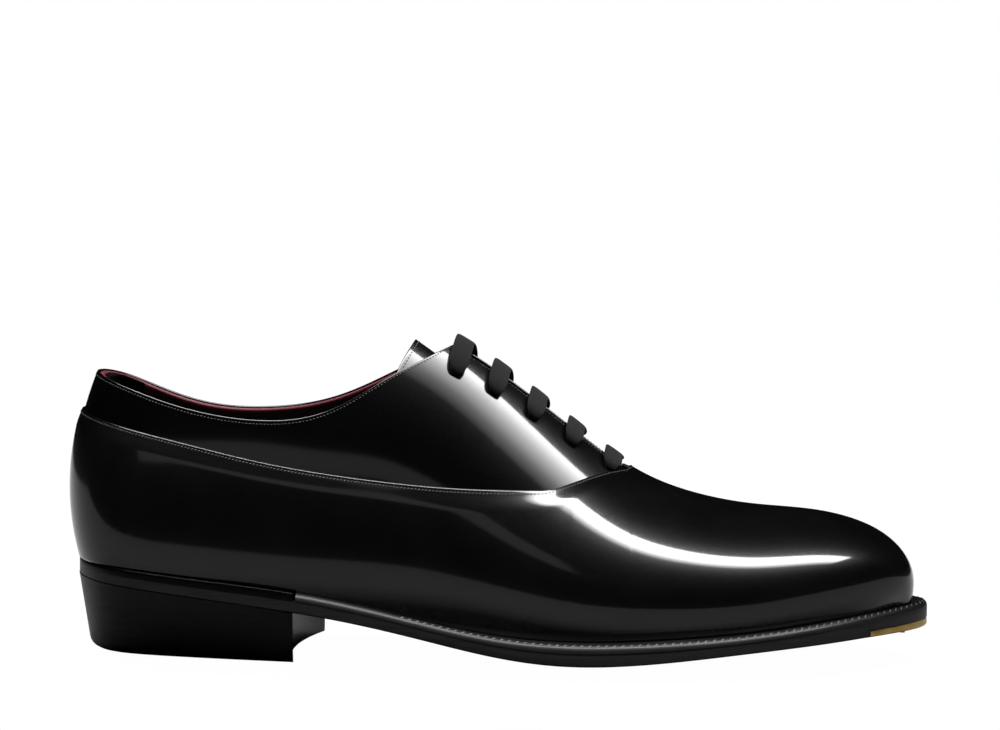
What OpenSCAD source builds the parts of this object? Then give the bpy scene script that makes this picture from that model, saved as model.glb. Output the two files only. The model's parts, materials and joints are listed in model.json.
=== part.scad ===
// Leather oxford shoe for the right foot: closed lacing, plain toe, leather sole and stacked heel.
// X runs from heel to toe, Y from the outer side (-) to the inner side (+), and Z is up.

/* [Shoe] */
// Length of the sole, heel to toe
sole_length = 304.4; // [294:0.2:314]
// Width of the sole at the ball of the foot
sole_width = 95; // [91:0.5:99]
// Height of the heel at its back, under the sole
heel_height = 26.5; // [24:0.5:29]
// Height of the sole's edge at the toe
toe_spring = 13; // [11:0.5:16]

/* [Upper] */
// Thickness of the outer leather
leather = 1.4; // [1.1:0.1:1.5]
// Thickness of the lining leather
lining = 0.8; // [0.6:0.1:1]
// Gap between the facings at the top
facing_gap_top = 12; // [9:0.5:14]
// Gap between the facings at the throat
facing_gap_throat = 2; // [1.6:0.2:3]

/* [Lacing] */
// Distance between one pair of eyelets and the next
eyelet_pitch = 13.35; // [13:0.05:13.6]
// Distance of the top eyelets from the centre line
eyelet_side = 17; // [16:0.5:18]
// How much closer to the centre line each next pair is
eyelet_closing = 1.1; // [0.9:0.1:1.2]
// Hole through the eyelets
eyelet_bore = 3.4; // [3.2:0.1:3.6]
// Width of the lace where it crosses the front
lace_width = 8.4; // [7:0.2:9]
// Thickness of the lace
lace_thickness = 1; // [0.8:0.1:1.2]

/* [Bottom] */
// Share of the sole's edge that is outsole, the rest being welt or rand
outsole_share = 0.62; // [0.58:0.01:0.66]
// Thickness of the heel's rubber top piece
top_piece_h = 6; // [5:0.5:6]
// Thickness of each leather heel lift
lift_h = 5; // [4.5:0.25:5]
// Depth of the hollow in the heel's breast
breast_hollow = 4.8; // [3:0.2:6]
// Thickness of the brass toe plate
toe_plate_h = 2; // [1.8:0.1:2.2]

/* [Hidden] */

PATENT = [0.03, 0.03, 0.035];
WINE = [0.33, 0.05, 0.07];
BLACK_LINING = [0.07, 0.065, 0.065];
CLOTH = [0.05, 0.05, 0.05];
EDGE_BLACK = [0.06, 0.055, 0.05];
TAN = [0.66, 0.5, 0.33];
CORK = [0.5, 0.36, 0.22];
STEEL = [0.6, 0.6, 0.62];
BRASS = [0.78, 0.62, 0.28];
RUBBER = [0.05, 0.05, 0.05];

sx = sole_length / 304.4;
sy = sole_width / 95;
gap = 0.1;                      // air between two layers of the upper
nominal_middle = 149.8;         // X of the middle of the sole, from the heel end of the stations
edge_step = 25;                 // spacing of the sole's side-view stations
top_step = 12;                  // spacing of the topline's stations
throat = 10;                    // station where the facings meet
toe = 16;                       // last station, the arc round the toe

quarter_in = leather + gap;               // depth of the quarters' outer face
stay_in = quarter_in + 1.2 + 0.45;
lining_in = stay_in + 0.6;
lining_out = lining_in + lining;
tongue_in = lining_out + 4.3;
lace_in = lining_out + 1.8;

// Stations along the upper's lower edge: X, outer side Y, inner side Y
FEATHER_STATIONS = [
    [-1.5, 0, 0], [2.5, -13.5, 13.5], [13, -23.5, 23], [32, -28, 27.5], [57, -29.5, 28.5],
    [84, -30, 27], [110, -31, 25.5], [134, -33.5, 27.5], [156, -37, 33.5], [178, -40.5, 40],
    [200, -42, 44], [222, -40.5, 43.5], [242, -36.5, 40], [259, -30.5, 34.5], [272, -24.5, 28.5],
    [281.5, -18.5, 23], [288, -12.5, 17]
];
// Upper end of each rib: over the opening at the rear, on the ridge in front
CREST_STATIONS = [
    [11, 0, 116], [14, 8, 116], [23, 13, 116], [44, 16, 116.5], [69, 16, 118], [94, 12, 120.5],
    [117, 5, 119.5], [138, 0, 110], [157, 0, 97], [177, 0, 81.6], [197.8, 0, 66], [218, 0, 57.5],
    [240, 0, 53], [263, 0, 51.4], [284, 0, 45], [295.5, 0, 33], [296, 0, 21]
];
// Shape of each rib: lean and length at the foot, spread and fall at the crest, turn to the toe
RIB_STATIONS = [
    [15, 40, 16, 70, 0], [14.5, 40, 16, 70, 0], [14, 39, 16, 70, 0], [14, 38, 18, 70, 0],
    [14, 38, 20, 68, 0], [14, 38, 22, 58, 0], [16, 40, 26, 30, 0], [20, 40, 27, 7, 0],
    [24, 37, 27, 7, 0], [24, 34, 26, 7, 0], [24, 31, 25, 4, 0], [26, 27, 26, 1, 0],
    [28, 24, 26, 0, 5], [30, 22, 24, 0, 14], [30, 18, 20, 0, 30], [28, 12, 16, 0, 55],
    [20, 6, 9, 0, 85]
];
// Sole outline, heel to toe: X, outer side Y, inner side Y
SOLE_STATIONS = [
    [-2.4, 0, 0], [8, -20.5, 20.5], [24, -28, 28], [45, -31, 31], [70, -32.5, 31.5],
    [100, -33, 28.5], [130, -36.5, 29.5], [155, -42, 36], [178, -46, 43.5], [200, -47.5, 47.5],
    [222, -46, 47.3], [245, -40, 43], [265, -32, 36.5], [282, -21, 27.5], [295, -9, 16],
    [302, 3.5, 3.5]
];
EDGE_Z = soft([26.5, 24, 21.2, 18.2, 14.5, 9.8, 5.2, 2.9, 3.9, 6.4, 8.6, 10.4, 11.8, 13.2]);
EDGE_T = soft([6, 6.3, 6.6, 7, 6.6, 6.3, 6.6, 7.4, 7.2, 6.3, 6.3, 7.6, 8.5, 8.6]);
CAMBER = soft([0, 0, 0, 0, 0.6, 1.6, 2.5, 2.8, 2.7, 2.4, 1.9, 1.3, 0.6, 0.2]);
SEAM_Z = soft([86, 80.4, 75.6, 70.5, 66.6, 64, 62.2, 61.6, 61.5, 61.5]);
TOP_OUTER = soft([101.4, 97.6, 93.7, 89.9, 86.9, 84.9, 84.1, 84.9, 88.6, 95.5, 102.6, 108.5, 116, 124]);
TOP_INNER = soft([101.4, 97.2, 91.6, 87.2, 85, 84.6, 85.4, 87.6, 91.8, 97.6, 103.4, 108.5, 116, 124]);

FEATHER = soft(from_heel(FEATHER_STATIONS, [1, -1, -1]));
CREST = soft(from_heel(CREST_STATIONS, [1, -1, 1]));
RIB = soft(from_heel(RIB_STATIONS, [1, 1, 1, 1, 1]));
sole_n = len(SOLE_STATIONS) - 1;
SOLE = soft_ring(concat(
    [for (s = SOLE_STATIONS) [s[0], s[1]]],
    [for (i = [sole_n - 1:-1:1]) [SOLE_STATIONS[i][0], SOLE_STATIONS[i][2]]]
));

// ---- curves ----

// Spline weights that make the curve pass through its stations
function soft(f) = let (n = len(f) - 1) [for (i = [0:n])
    (8 * f[i] - (i > 0 ? f[i - 1] : 2 * f[0] - f[1]) - (i < n ? f[i + 1] : 2 * f[n] - f[n - 1])) / 6];

function soft_ring(f) = let (n = len(f)) [for (i = [0:n - 1])
    (8 * f[i] - f[(i + n - 1) % n] - f[(i + 1) % n]) / 6];

// The stations with the mirror image of the first one put before them
function from_heel(f, flip) = concat([[for (k = [0:len(flip) - 1]) f[1][k] * flip[k]]], f);

function blend4(a, b, c, d, u) = ((1 - u) ^ 3 * a + (3 * u ^ 3 - 6 * u ^ 2 + 4) * b
    + (1 + 3 * u + 3 * u ^ 2 - 3 * u ^ 3) * c + u ^ 3 * d) / 6;

function spline(c, t) = let (n = len(c) - 1, i = max(0, min(floor(t), n - 1)))
    blend4(i > 0 ? c[i - 1] : 2 * c[0] - c[1], c[i], c[i + 1],
        i + 2 <= n ? c[i + 2] : 2 * c[n] - c[n - 1], t - i);

function spline_ring(c, t) = let (n = len(c), i = floor(t))
    blend4(c[(i + n - 1) % n], c[i % n], c[(i + 1) % n], c[(i + 2) % n], t - i);

// Where an increasing function g crosses zero between lo and hi
function solve(g, lo, hi, n = 15) = let (mid = (lo + hi) / 2)
    n == 0 ? mid : g(mid) < 0 ? solve(g, mid, hi, n - 1) : solve(g, lo, mid, n - 1);

function ease(u) = let (q = min(1, max(0, u))) q * q * (3 - 2 * q);
function unit(v) = v / norm(v);

// ---- side view of the sole ----

function rise(x) = (heel_height - 26.5) * ease(1 - x / 175) + (toe_spring - 13) * ease((x - 175) / 127);
function edge_z(x) = spline(EDGE_Z, x / sx / edge_step) + rise(x / sx);
function edge_t(x) = spline(EDGE_T, x / sx / edge_step);
function camber(x) = spline(CAMBER, x / sx / edge_step);
function outsole_t(x) = edge_t(x) * outsole_share;
function welt_top(x) = edge_z(x) + edge_t(x);
function seam_z(x) = spline(SEAM_Z, x / sx / 22) + rise(x / sx);
function topline_z(x, side) = spline(side < 0 ? TOP_OUTER : TOP_INNER, x / sx / top_step) + rise(x / sx);

// ---- the upper's surface: ribs from the lower edge up to the crest ----

function feather(t, side) = let (f = spline(FEATHER, t + 1)) [f[0] * sx, (side < 0 ? f[1] : f[2]) * sy];

// Four control points of one rib; a negative station is on the outer side
function rib(tau) = let (
        side = tau < 0 ? -1 : 1, t = abs(tau),
        foot = feather(t, side), along = unit(feather(t + 0.01, side) - feather(t - 0.01, side)),
        out = [-side * along[1], side * along[0]],
        c = spline(CREST, t + 1), shape = spline(RIB, t + 1), w = ease((t - 3) / 2),
        over = unit([out[0] * (1 - w), out[1] * (1 - w) + side * w]),
        p0 = [foot[0], foot[1], welt_top(foot[0])],
        p3 = [c[0] * sx, c[1] * side * sy, c[2] + rise(c[0])],
        up = [sin(shape[0]) * out[0], sin(shape[0]) * out[1], cos(shape[0])],
        ahead = [along[0], along[1], 0]
    ) [p0, p0 + shape[1] * (up * cos(shape[4]) + ahead * sin(shape[4])),
        p3 + shape[2] * [over[0] * cos(shape[3]), over[1] * cos(shape[3]), -sin(shape[3])], p3];

function on_rib(r, v) = (1 - v) ^ 3 * r[0] + 3 * (1 - v) ^ 2 * v * r[1] + 3 * (1 - v) * v ^ 2 * r[2] + v ^ 3 * r[3];
function rib_slope(r, v) = (1 - v) ^ 2 * (r[1] - r[0]) + 2 * (1 - v) * v * (r[2] - r[1]) + v ^ 2 * (r[3] - r[2]);
function rib_length(r) = 1.1 * norm(r[3] - r[0]);

// Points of one rib at the given heights and depth under the surface
function column(tau, heights, depth) = let (a = rib(tau - 0.02), b = rib(tau + 0.02), r = rib(tau))
    [for (v = heights) let (
            n = cross(rib_slope(r, v), on_rib(b, v) - on_rib(a, v)),
            m = v > 0.9999 ? [n[0], 0, n[2]] : n
        ) on_rib(r, v) - depth * unit(m)];
function skin(tau, v, depth) = column(tau, [v], depth)[0];

function steps(lo, hi, n) = [for (k = [0:n]) lo + (hi - lo) * k / n];
function both(list) = concat([for (k = [len(list) - 1:-1:1]) -list[k]], list);

// Height on the rib of the golosh's upper edge, which closes to the ridge at the throat
function seam_v(tau) = let (
        r = rib(tau),
        side_v = solve(function (v) let (p = on_rib(r, v)) p[2] - seam_z(p[0]), 0, 1),
        q = min(1, max(0, (abs(tau) - 8.6) / (throat - 8.6))),
        half = abs(on_rib(r, side_v)[1]) * sqrt(1 - q * q)
    ) abs(tau) >= throat ? 1 : q <= 0 ? side_v
        : solve(function (v) half - abs(on_rib(r, v)[1]), side_v, 1);

function side_v(tau, y) = let (r = rib(tau))
    y == 0 ? 1 : solve(function (v) y - abs(on_rib(r, v)[1]), 0.35, 1);
function facing_y(x) = let (q = min(1, max(0, (197 - x / sx) / 64)))
    (facing_gap_throat + (facing_gap_top - facing_gap_throat) * q) / 2;
// There is no facing round the heel, so there the topline alone is the edge
function facing_v(tau) = let (r = rib(tau)) abs(tau) < 4 ? 2 :
    solve(function (v) let (p = on_rib(r, v)) facing_y(p[0]) - abs(p[1]), 0.35, 1);
function topline_v(tau) = let (r = rib(tau), side = tau < 0 ? -1 : 1)
    solve(function (v) let (p = on_rib(r, v)) p[2] - topline_z(p[0], side), 0, 1);

// Upper edge of a quarter: topline and facing, with the corner between them rounded
function edge_v(tau) = let (a = topline_v(tau), b = facing_v(tau), k = 0.05)
    min(a, b) - max(k - abs(a - b), 0) ^ 2 / (4 * k);

// ---- solids from point grids ----

// Faces of a sheet with two sides; sewn end columns share their last point with the far end
function sheet_faces(ni, nj, sewn) = let (
        at = function (s, i, j) (s * (ni + 1) + (j == nj && i > ni - sewn ? ni - i : i)) * (nj + 1) + j,
        o = function (i, j) at(0, i, j), q = function (i, j) at(1, i, j)
    ) concat(
        [for (i = [0:ni - 1], j = [0:nj - 1]) each [
            [o(i, j), o(i + 1, j), o(i + 1, j + 1)], [o(i, j), o(i + 1, j + 1), o(i, j + 1)],
            [q(i, j), q(i + 1, j + 1), q(i + 1, j)], [q(i, j), q(i, j + 1), q(i + 1, j + 1)]
        ]],
        [for (i = [0:ni - 1]) each [
            [o(i + 1, 0), o(i, 0), q(i, 0)], [o(i + 1, 0), q(i, 0), q(i + 1, 0)]
        ]],
        [for (i = [0:ni - 1]) if (i >= sewn - 1 && i < ni - sewn + 1) each [
            [o(i, nj), o(i + 1, nj), q(i + 1, nj)], [o(i, nj), q(i + 1, nj), q(i, nj)]
        ]],
        [for (j = [0:nj - 1]) each [
            [o(0, j), o(0, j + 1), q(0, j + 1)], [o(0, j), q(0, j + 1), q(0, j)],
            [o(ni, j + 1), o(ni, j), q(ni, j)], [o(ni, j + 1), q(ni, j), q(ni, j + 1)]
        ]]
    );

module sheet(outer, inner, sewn = 0) {
    polyhedron(
        points = concat([for (c = outer) each c], [for (c = inner) each c]),
        faces = sheet_faces(len(outer) - 1, len(outer[0]) - 1, sewn),
        convexity = 8
    );
}

// Stacked closed rings; each ring starts at the heel and its two halves mirror each other
module loft(rings) {
    n = len(rings[0]);
    top = (len(rings) - 1) * n;
    polyhedron(
        points = [for (r = rings) each r],
        faces = concat(
            [for (l = [0:len(rings) - 2], k = [0:n - 1]) let (a = l * n + k, b = l * n + (k + 1) % n) each [
                [a, a + n, b + n], [a, b + n, b]
            ]],
            [for (k = [0:n / 2 - 2]) each [[k, k + 1, n - k - 1], [top + k, top + n - k - 1, top + k + 1]]],
            [for (k = [1:n / 2 - 1]) each [[k, n - k - 1, n - k], [top + k, top + n - k, top + n - k - 1]]]
        ),
        convexity = 6
    );
}

// A bar along a path, with sections of any number of corners
module bar(sections) {
    m = len(sections[0]);
    last = m * (len(sections) - 1);
    polyhedron(
        points = [for (s = sections) each s],
        faces = concat(
            [for (k = [1:m - 2]) each [[0, k + 1, k], [last, last + k, last + k + 1]]],
            [for (i = [0:len(sections) - 2], k = [0:m - 1]) let (a = m * i + k, b = m * i + (k + 1) % m) each [
                [a, b, b + m], [a, b + m, a + m]
            ]]
        ),
        convexity = 8
    );
}

// ---- upper ----

GOLOSH_T = concat(
    steps(0, 8.5, 17), [8.8, 9.05, 9.3, 9.5, 9.67, 9.8, 9.9, 9.96, 10], steps(10.5, 15, 9), [15.35, 15.65, 15.85, 16]
);
golosh_sewn = len([for (t = GOLOSH_T) if (t >= throat) t]);

// Ribs from low to high, with the rows closer together near the top
function wrap(stations, low, high, rows, depth, tight = 1) = [for (tau = stations) let (a = low(tau), b = high(tau))
    column(tau, [for (k = [0:rows]) b - (b - a) * (1 - k / rows) ^ tight], depth)];

module golosh() {
    low = function (tau) 0;
    high = function (tau) seam_v(tau);
    color(PATENT)
        sheet(
            wrap(both(GOLOSH_T), low, high, 13, 0),
            wrap(both(GOLOSH_T), low, high, 13, leather),
            golosh_sewn
        );
}

QUARTER_T = concat(
    steps(0, 5.5, 11), [5.8, 6.1, 6.35, 6.55, 6.7, 6.82, 6.94, 7.06, 7.2, 7.4], steps(7.8, 9.8, 5), [10, 10.2]
);
underlap = 9;
function quarter_low(tau) = max(0, seam_v(tau) - underlap / rib_length(rib(tau)));

module quarter(side) {
    ts = side < 0 ? [for (k = [len(QUARTER_T) - 1:-1:0]) -max(QUARTER_T[k], 0.02)]
        : [for (t = QUARTER_T) max(t, 0.02)];
    low = function (tau) quarter_low(tau);
    high = function (tau) edge_v(tau);
    difference() {
        sheet(wrap(ts, low, high, 10, quarter_in, 1.4), wrap(ts, low, high, 10, quarter_in + 1.2, 1.4));
        eyelet_holes(side, eyelet_bore + 0.4);
    }
}

module quarter_lateral() {
    color(PATENT) quarter(-1);
}

module quarter_medial() {
    color(PATENT) quarter(1);
}

LINING_T = concat(steps(0, 5.5, 11), [5.8, 6.1, 6.4, 6.6, 6.8, 7, 7.2, 7.4], steps(7.8, 9.4, 4), [9.7]);

module quarter_lining() {
    low = function (tau) 0;
    high = function (tau) edge_v(tau) - 0.006;
    color(WINE)
        difference() {
            sheet(
                wrap(both(LINING_T), low, high, 12, lining_in, 1.4),
                wrap(both(LINING_T), low, high, 12, lining_out, 1.4)
            );
            eyelet_holes(-1, eyelet_bore + 1.2);
            eyelet_holes(1, eyelet_bore + 1.2);
        }
}

// A sheet from the outer side's lower edge over the ridge to the inner side's
function over_ridge(stations, foot, rows, depth) = [for (t = stations) concat(
    column(-t, steps(foot, 1, rows), depth),
    [for (k = [rows - 1:-1:0]) column(t, [foot + (1 - foot) * k / rows], depth)[0]]
)];

module vamp_lining() {
    ts = concat(steps(9.8, 14.8, 10), [15.2, 15.5, 15.75]);
    color(TAN) sheet(over_ridge(ts, 0, 9, lining_in), over_ridge(ts, 0, 9, lining_out));
}

module toe_puff() {
    ts = [14, 14.4, 14.8, 15.2, 15.5, 15.75];
    color(TAN)
        sheet(over_ridge(ts, 0.03, 9, quarter_in + 0.4), over_ridge(ts, 0.03, 9, lining_in - 0.4));
}

module heel_counter() {
    ts = both(steps(0, 5, 10));
    low = function (tau) 0.03;
    high = function (tau) quarter_low(tau) - 0.02;
    color(TAN) sheet(wrap(ts, low, high, 5, quarter_in + 0.2), wrap(ts, low, high, 5, lining_in - 0.2));
}

// Black leather inside the back, up to the topline
module heel_grip() {
    ts = both([0, 0.5, 1, 1.5, 2]);
    low = function (tau) 0.25;
    high = function (tau) edge_v(tau) - 0.006;
    color(BLACK_LINING)
        sheet(wrap(ts, low, high, 9, lining_out + 0.6, 1.4), wrap(ts, low, high, 9, lining_out + 1.3, 1.4));
}

module facing_stays() {
    ts = [7.2, 7.4, 7.8, 8.2, 8.6, 9, 9.4, 9.6];
    low = function (tau) side_v(tau, 24);
    high = function (tau) facing_v(tau) - 0.03;
    color(TAN)
        for (side = [-1, 1]) {
            order = side < 0 ? [for (k = [len(ts) - 1:-1:0]) -ts[k]] : ts;
            difference() {
                sheet(wrap(order, low, high, 6, stay_in), wrap(order, low, high, 6, stay_in + 0.4));
                eyelet_holes(side, eyelet_bore + 1.2);
            }
        }
}

// ---- eyelets and lace ----

eyelet_pairs = 5;
eyelet_x0 = 137.7;
function eyelet_y(k) = eyelet_side - k * eyelet_closing;
EYELET_T = [for (k = [0:eyelet_pairs - 1]) solve(
    function (t) skin(-t, side_v(-t, eyelet_y(k)), 0)[0] / sx - eyelet_x0 - k * eyelet_pitch, 5.5, 10.4)];

// Station and height of a place near the lacing: k counts pairs from the top, y is from the centre
function lacing_t(k) = let (i = max(0, min(floor(k), eyelet_pairs - 2)))
    EYELET_T[i] + (EYELET_T[i + 1] - EYELET_T[i]) * (k - i);
function lacing(side, k, y, depth) = let (t = lacing_t(k)) skin(side * t, side_v(side * t, y), depth);

module at_eyelet(side, k) {
    p = lacing(side, k, eyelet_y(k), 0);
    z = unit(p - lacing(side, k, eyelet_y(k), 1));
    x = unit(cross([0, 1, 0], z));
    y = cross(z, x);
    multmatrix([[x[0], y[0], z[0], p[0]], [x[1], y[1], z[1], p[1]], [x[2], y[2], z[2], p[2]]]) children();
}

module eyelet_holes(side, d) {
    for (k = [0:eyelet_pairs - 1])
        at_eyelet(side, k) translate([0, 0, -8]) cylinder(h = 12, d = d, $fn = 32);
}

// Blind eyelets set in the stay and the lining, under the outer leather
module eyelets() {
    bore = eyelet_bore / 2;
    color(BRASS)
        for (side = [-1, 1], k = [0:eyelet_pairs - 1])
            at_eyelet(side, k)
                rotate_extrude($fn = 32)
                    polygon([
                        [bore, -lining_out - 0.7], [bore + 1, -lining_out - 0.7], [bore + 1, -lining_out - 0.4],
                        [bore + 0.5, -lining_out - 0.4], [bore + 0.5, -stay_in - 0.1], [bore, -stay_in - 0.1]
                    ]);
}

lane = 5.4;            // distance of the inside runs from the line of the eyelets
hole_width = 2.1;
run_width = 4;

// Route of the lace: side, eyelet pair from the top, distance from the line of the eyelets, depth, width
LACE_ROUTE = concat(
    inside(-1, [[1.6, -lane], [1.1, -lane], [0.6, -lane], [0.25, -3.2]]),
    crossing(-1, 0), inside(1, [[0.25, -3.2], [0.7, -lane], [1.3, -lane], [1.75, -3.2]]),
    crossing(1, 2), inside(-1, [[2.25, -3.2], [2.7, -lane], [3.3, -lane], [3.75, -3.2]]),
    crossing(-1, 4), inside(1, [[3.75, 3.2], [3.6, lane], [3.4, lane], [3.25, 3.2]]),
    crossing(1, 3), inside(-1, [[2.75, 3.2], [2.4, lane], [1.6, lane], [1.25, 3.2]]),
    crossing(-1, 1), inside(1, [[1.25, 3.2], [1.6, lane], [2, lane], [2.4, lane]])
);

function inside(side, runs) = [for (r = runs) [side, r[0], eyelet_y(r[0]) + r[1], lace_in, run_width]];
// Up through the eyelet on one side, over the ridge, and down through the one opposite
function crossing(side, k) = let (e = eyelet_y(k), half = [
        [e, lace_in - 0.3, hole_width], [e, 1.8, hole_width], [e - 0.2, -0.5, hole_width + 0.4],
        [e - 1.8, -1.25, lace_width * 0.7], [e * 0.66, -1.35, lace_width], [e * 0.33, -1.3, lace_width]
    ]) concat(
        [for (h = half) [side, k, h[0], h[1], h[2]]], [[side, k, 0, -1.2, lace_width]],
        [for (i = [5:-1:0]) [-side, k, half[i][0], half[i][1], half[i][2]]]
    );
LACE_P = [for (r = LACE_ROUTE) lacing(r[0], r[1], r[2], r[3])];

// Flat side of the lace: along the facings, square to its run
function lace_section(i) = let (
        n = len(LACE_P) - 1, d = unit(LACE_P[min(n, i + 1)] - LACE_P[max(0, i - 1)]), r = LACE_ROUTE[i],
        ahead = lacing(r[0], r[1] + 0.2, r[2], r[3]) - lacing(r[0], r[1] - 0.2, r[2], r[3]),
        outward = lacing(r[0], r[1], r[2], -1) - lacing(r[0], r[1], r[2], 1),
        crossways = abs(d * unit(ahead)) < 0.72,
        face = crossways ? unit(cross(ahead, d)) : unit(outward - (outward * d) * d),
        tucked = i == 0 || i == n ? 0.4 : 1, w = cross(d, face) * tucked * r[4] / 2, h = face * lace_thickness / 2
    ) [LACE_P[i] + w - h, LACE_P[i] + w + h, LACE_P[i] - w + h, LACE_P[i] - w - h];

module lace() {
    color(CLOTH) bar([for (i = [0:len(LACE_P) - 1]) lace_section(i)]);
}

module aglets() {
    n = len(LACE_P) - 1;
    color(CLOTH)
        for (tip = [
            [LACE_P[0], lacing(-1, 2.4, eyelet_y(2.4) - lane, lace_in)],
            [LACE_P[n], lacing(1, 3.1, eyelet_y(3.1) + lane, lace_in)]
        ]) {
            z = unit(tip[1] - tip[0]);
            x = unit(cross([0, 1, 0], z));
            y = cross(z, x);
            p = tip[0] - 0.6 * z;
            multmatrix([[x[0], y[0], z[0], p[0]], [x[1], y[1], z[1], p[1]], [x[2], y[2], z[2], p[2]]])
                cylinder(h = norm(tip[1] - tip[0]), d = 1.9, $fn = 24);
        }
}

// Stitched bar that locks the facings together at the throat
module throat_bar() {
    xs = [196.6, 197.8, 199, 200.2];
    color(CLOTH)
        bar([for (x = xs) let (z = skin(throat + (x - 197.8) / 20.2, 1, 0)[2] + 0.1)
            [[x * sx, -1.6, z], [x * sx, -1.6, z + 0.8], [x * sx, 1.6, z + 0.8], [x * sx, 1.6, z]]]);
}

// ---- tongue ----

TONGUE_T = [6, 6.25, 6.5, 6.75, 7, 7.35, 7.7, 8.1, 8.6, 9.1, 9.5, 9.9, 10.3];
TONGUE_TIP = [-12.6, 0, 8.9];    // from the ridge at station 7 to the tip of the tongue
tongue_rows = 7;
function tongue_half(t) = 26.4 - 1.9 * (t - 6.3);

// A row across the tongue, with the ridge smoothed into an arch
function arch(row, n) = n == 0 ? row : let (m = len(row) - 1)
    arch([for (j = [0:m]) j == 0 || j == m ? row[j] : (row[j - 1] + 2 * row[j] + row[j + 1]) / 4], n - 1);
function tongue_row(t, depth) = let (y = tongue_half(t)) arch(concat(
    [for (k = [0:tongue_rows - 1]) skin(-t, side_v(-t, y * (1 - k / tongue_rows)), depth)],
    [skin(t, 1, depth)],
    [for (k = [tongue_rows - 1:-1:0]) skin(t, side_v(t, y * (1 - k / tongue_rows)), depth)]
), 3);

// Above station 7 the tongue runs on straight, and its end is cut square to its length with round corners
function tongue_face(depth) = let (row = tongue_row(7, depth), top = row[tongue_rows][2]) [for (t = TONGUE_T)
    t >= 7 ? tongue_row(t, depth) : [for (p = row) let (drop = (top - p[2]) / norm(TONGUE_TIP))
        p + (7 - t) * (1 + 0.52 * drop * (1 - drop * drop / 9)) * TONGUE_TIP]];

module tongue() {
    color(PATENT) sheet(tongue_face(tongue_in), tongue_face(tongue_in + leather));
}

module tongue_lining() {
    color(WINE) sheet(tongue_face(tongue_in + leather + 0.1), tongue_face(tongue_in + leather + 0.1 + lining));
}

// ---- bottom ----

// Plan of the upper's inside at its lower edge, as a ring, at a height given by z(x)
function footprint(depth, z) = let (
        ts = concat(steps(0.5, 13.5, 26), [14, 14.5, 15, 15.5, 16]), n = len(ts) - 1, vs = [0.3, 0.6, 0.85],
        pts = concat(
            [skin(0, 0, depth)], [for (t = ts) skin(-t, 0, depth)], [for (v = vs) skin(-toe, v, depth)],
            [skin(toe, 1, depth)], [for (k = [2:-1:0]) skin(toe, vs[k], depth)],
            [for (k = [n:-1:0]) skin(ts[k], 0, depth)]
        )
    ) [for (p = pts) [p[0], p[1], z(p[0])]];

insole_t = 3;
module insole() {
    color(TAN)
        loft([
            footprint(lining_out + 0.3, function (x) welt_top(x) + 0.1),
            footprint(lining_out + 0.3, function (x) welt_top(x) + insole_t)
        ]);
}

module sock_lining() {
    color(BLACK_LINING)
        loft([
            footprint(lining_out + 2.2, function (x) welt_top(x) + insole_t + 0.05),
            footprint(lining_out + 2.4, function (x) welt_top(x) + insole_t + 1)
        ]);
}

module cork_filler() {
    ts = steps(7.5, 15.5, 16);
    n = len(ts) - 1;
    mid = skin(-ts[0], 0, 9)[0];
    ring = function (z) let (pts = concat(
            [[mid - 1, 0]], [for (t = ts) skin(-t, 0, 9)], [skin(toe, 1, 9)], [for (k = [n:-1:0]) skin(ts[k], 0, 9)]
        )) [for (p = pts) [p[0], p[1], z(p[0])]];
    color(CORK)
        loft([ring(function (x) edge_z(x) + outsole_t(x) + 0.15), ring(function (x) welt_top(x) - 0.05)]);
}

module shank() {
    color(STEEL)
        bar([for (x = [42:8:126]) let (
                z = edge_z(x) - camber(x) + outsole_t(x) + 0.3, half = 7
            ) [[x, -half, z], [x, -half, z + 1.2], [x, half, z + 1.2], [x, half, z]]]);
}

// Point on the sole's outline, moved inwards
function outline(u, inset) = let (
        n = len(SOLE), w = (u + n) % n, a = spline_ring(SOLE, w), b = spline_ring(SOLE, (w + 0.02) % n),
        d = unit([(b[0] - a[0]) * sx, (b[1] - a[1]) * sy])
    ) [a[0] * sx - d[1] * inset, a[1] * sy + d[0] * inset];

breast_u = 4.42;       // outline parameter where the heel's breast meets the outer edge
ring_n = 30;
welt_inset = function (x) 6.6 + 3.6 * ease((x - 95) / 70);

// A strip round the sole's edge, on the outsole
function edge_strip(us) = [for (u = us) let (
        inset = welt_inset(outline(u, 0)[0]), low = function (x) edge_z(x) + outsole_t(x) + 0.05,
        at = function (i, z, down) let (p = outline(u, i)) [p[0], p[1], z(p[0]) - down],
        top = function (x) welt_top(x)
    ) [at(0.3, low, 0), at(0.3, top, 1.5), at(0.9, top, 0.5), at(2.1, top, 0), at(inset, top, 0), at(inset, low, 0)]];

module welt() {
    color(EDGE_BLACK)
        bar(edge_strip(concat(
            steps(breast_u + 0.03, 13, 26), steps(13.25, 16.75, 14), steps(17, ring_n - breast_u - 0.03, 26)
        )));
}

module heel_rand() {
    color(EDGE_BLACK) bar(edge_strip(steps(ring_n - breast_u, ring_n + breast_u, 36)));
}

// Cross rows of the sole: outline parameter, then the points from outer to inner edge
plate_u = 12.9;
sole_rows = 10;
function sole_row(u, lift) = let (
        a = outline(u, 0), b = outline(ring_n - u, 0),
        bow = 8 * ease((u - 11.5) / (plate_u - 11.5)) * ease((14.9 - u) / 1.6)
    ) [for (w = steps(-1, 1, sole_rows)) let (
            p = a + (b - a) * (w + 1) / 2, x = p[0]
        ) [x + bow * (1 - w * w), p[1], edge_z(x) - camber(x) * (1 - w * w) + lift(x)]];

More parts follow.
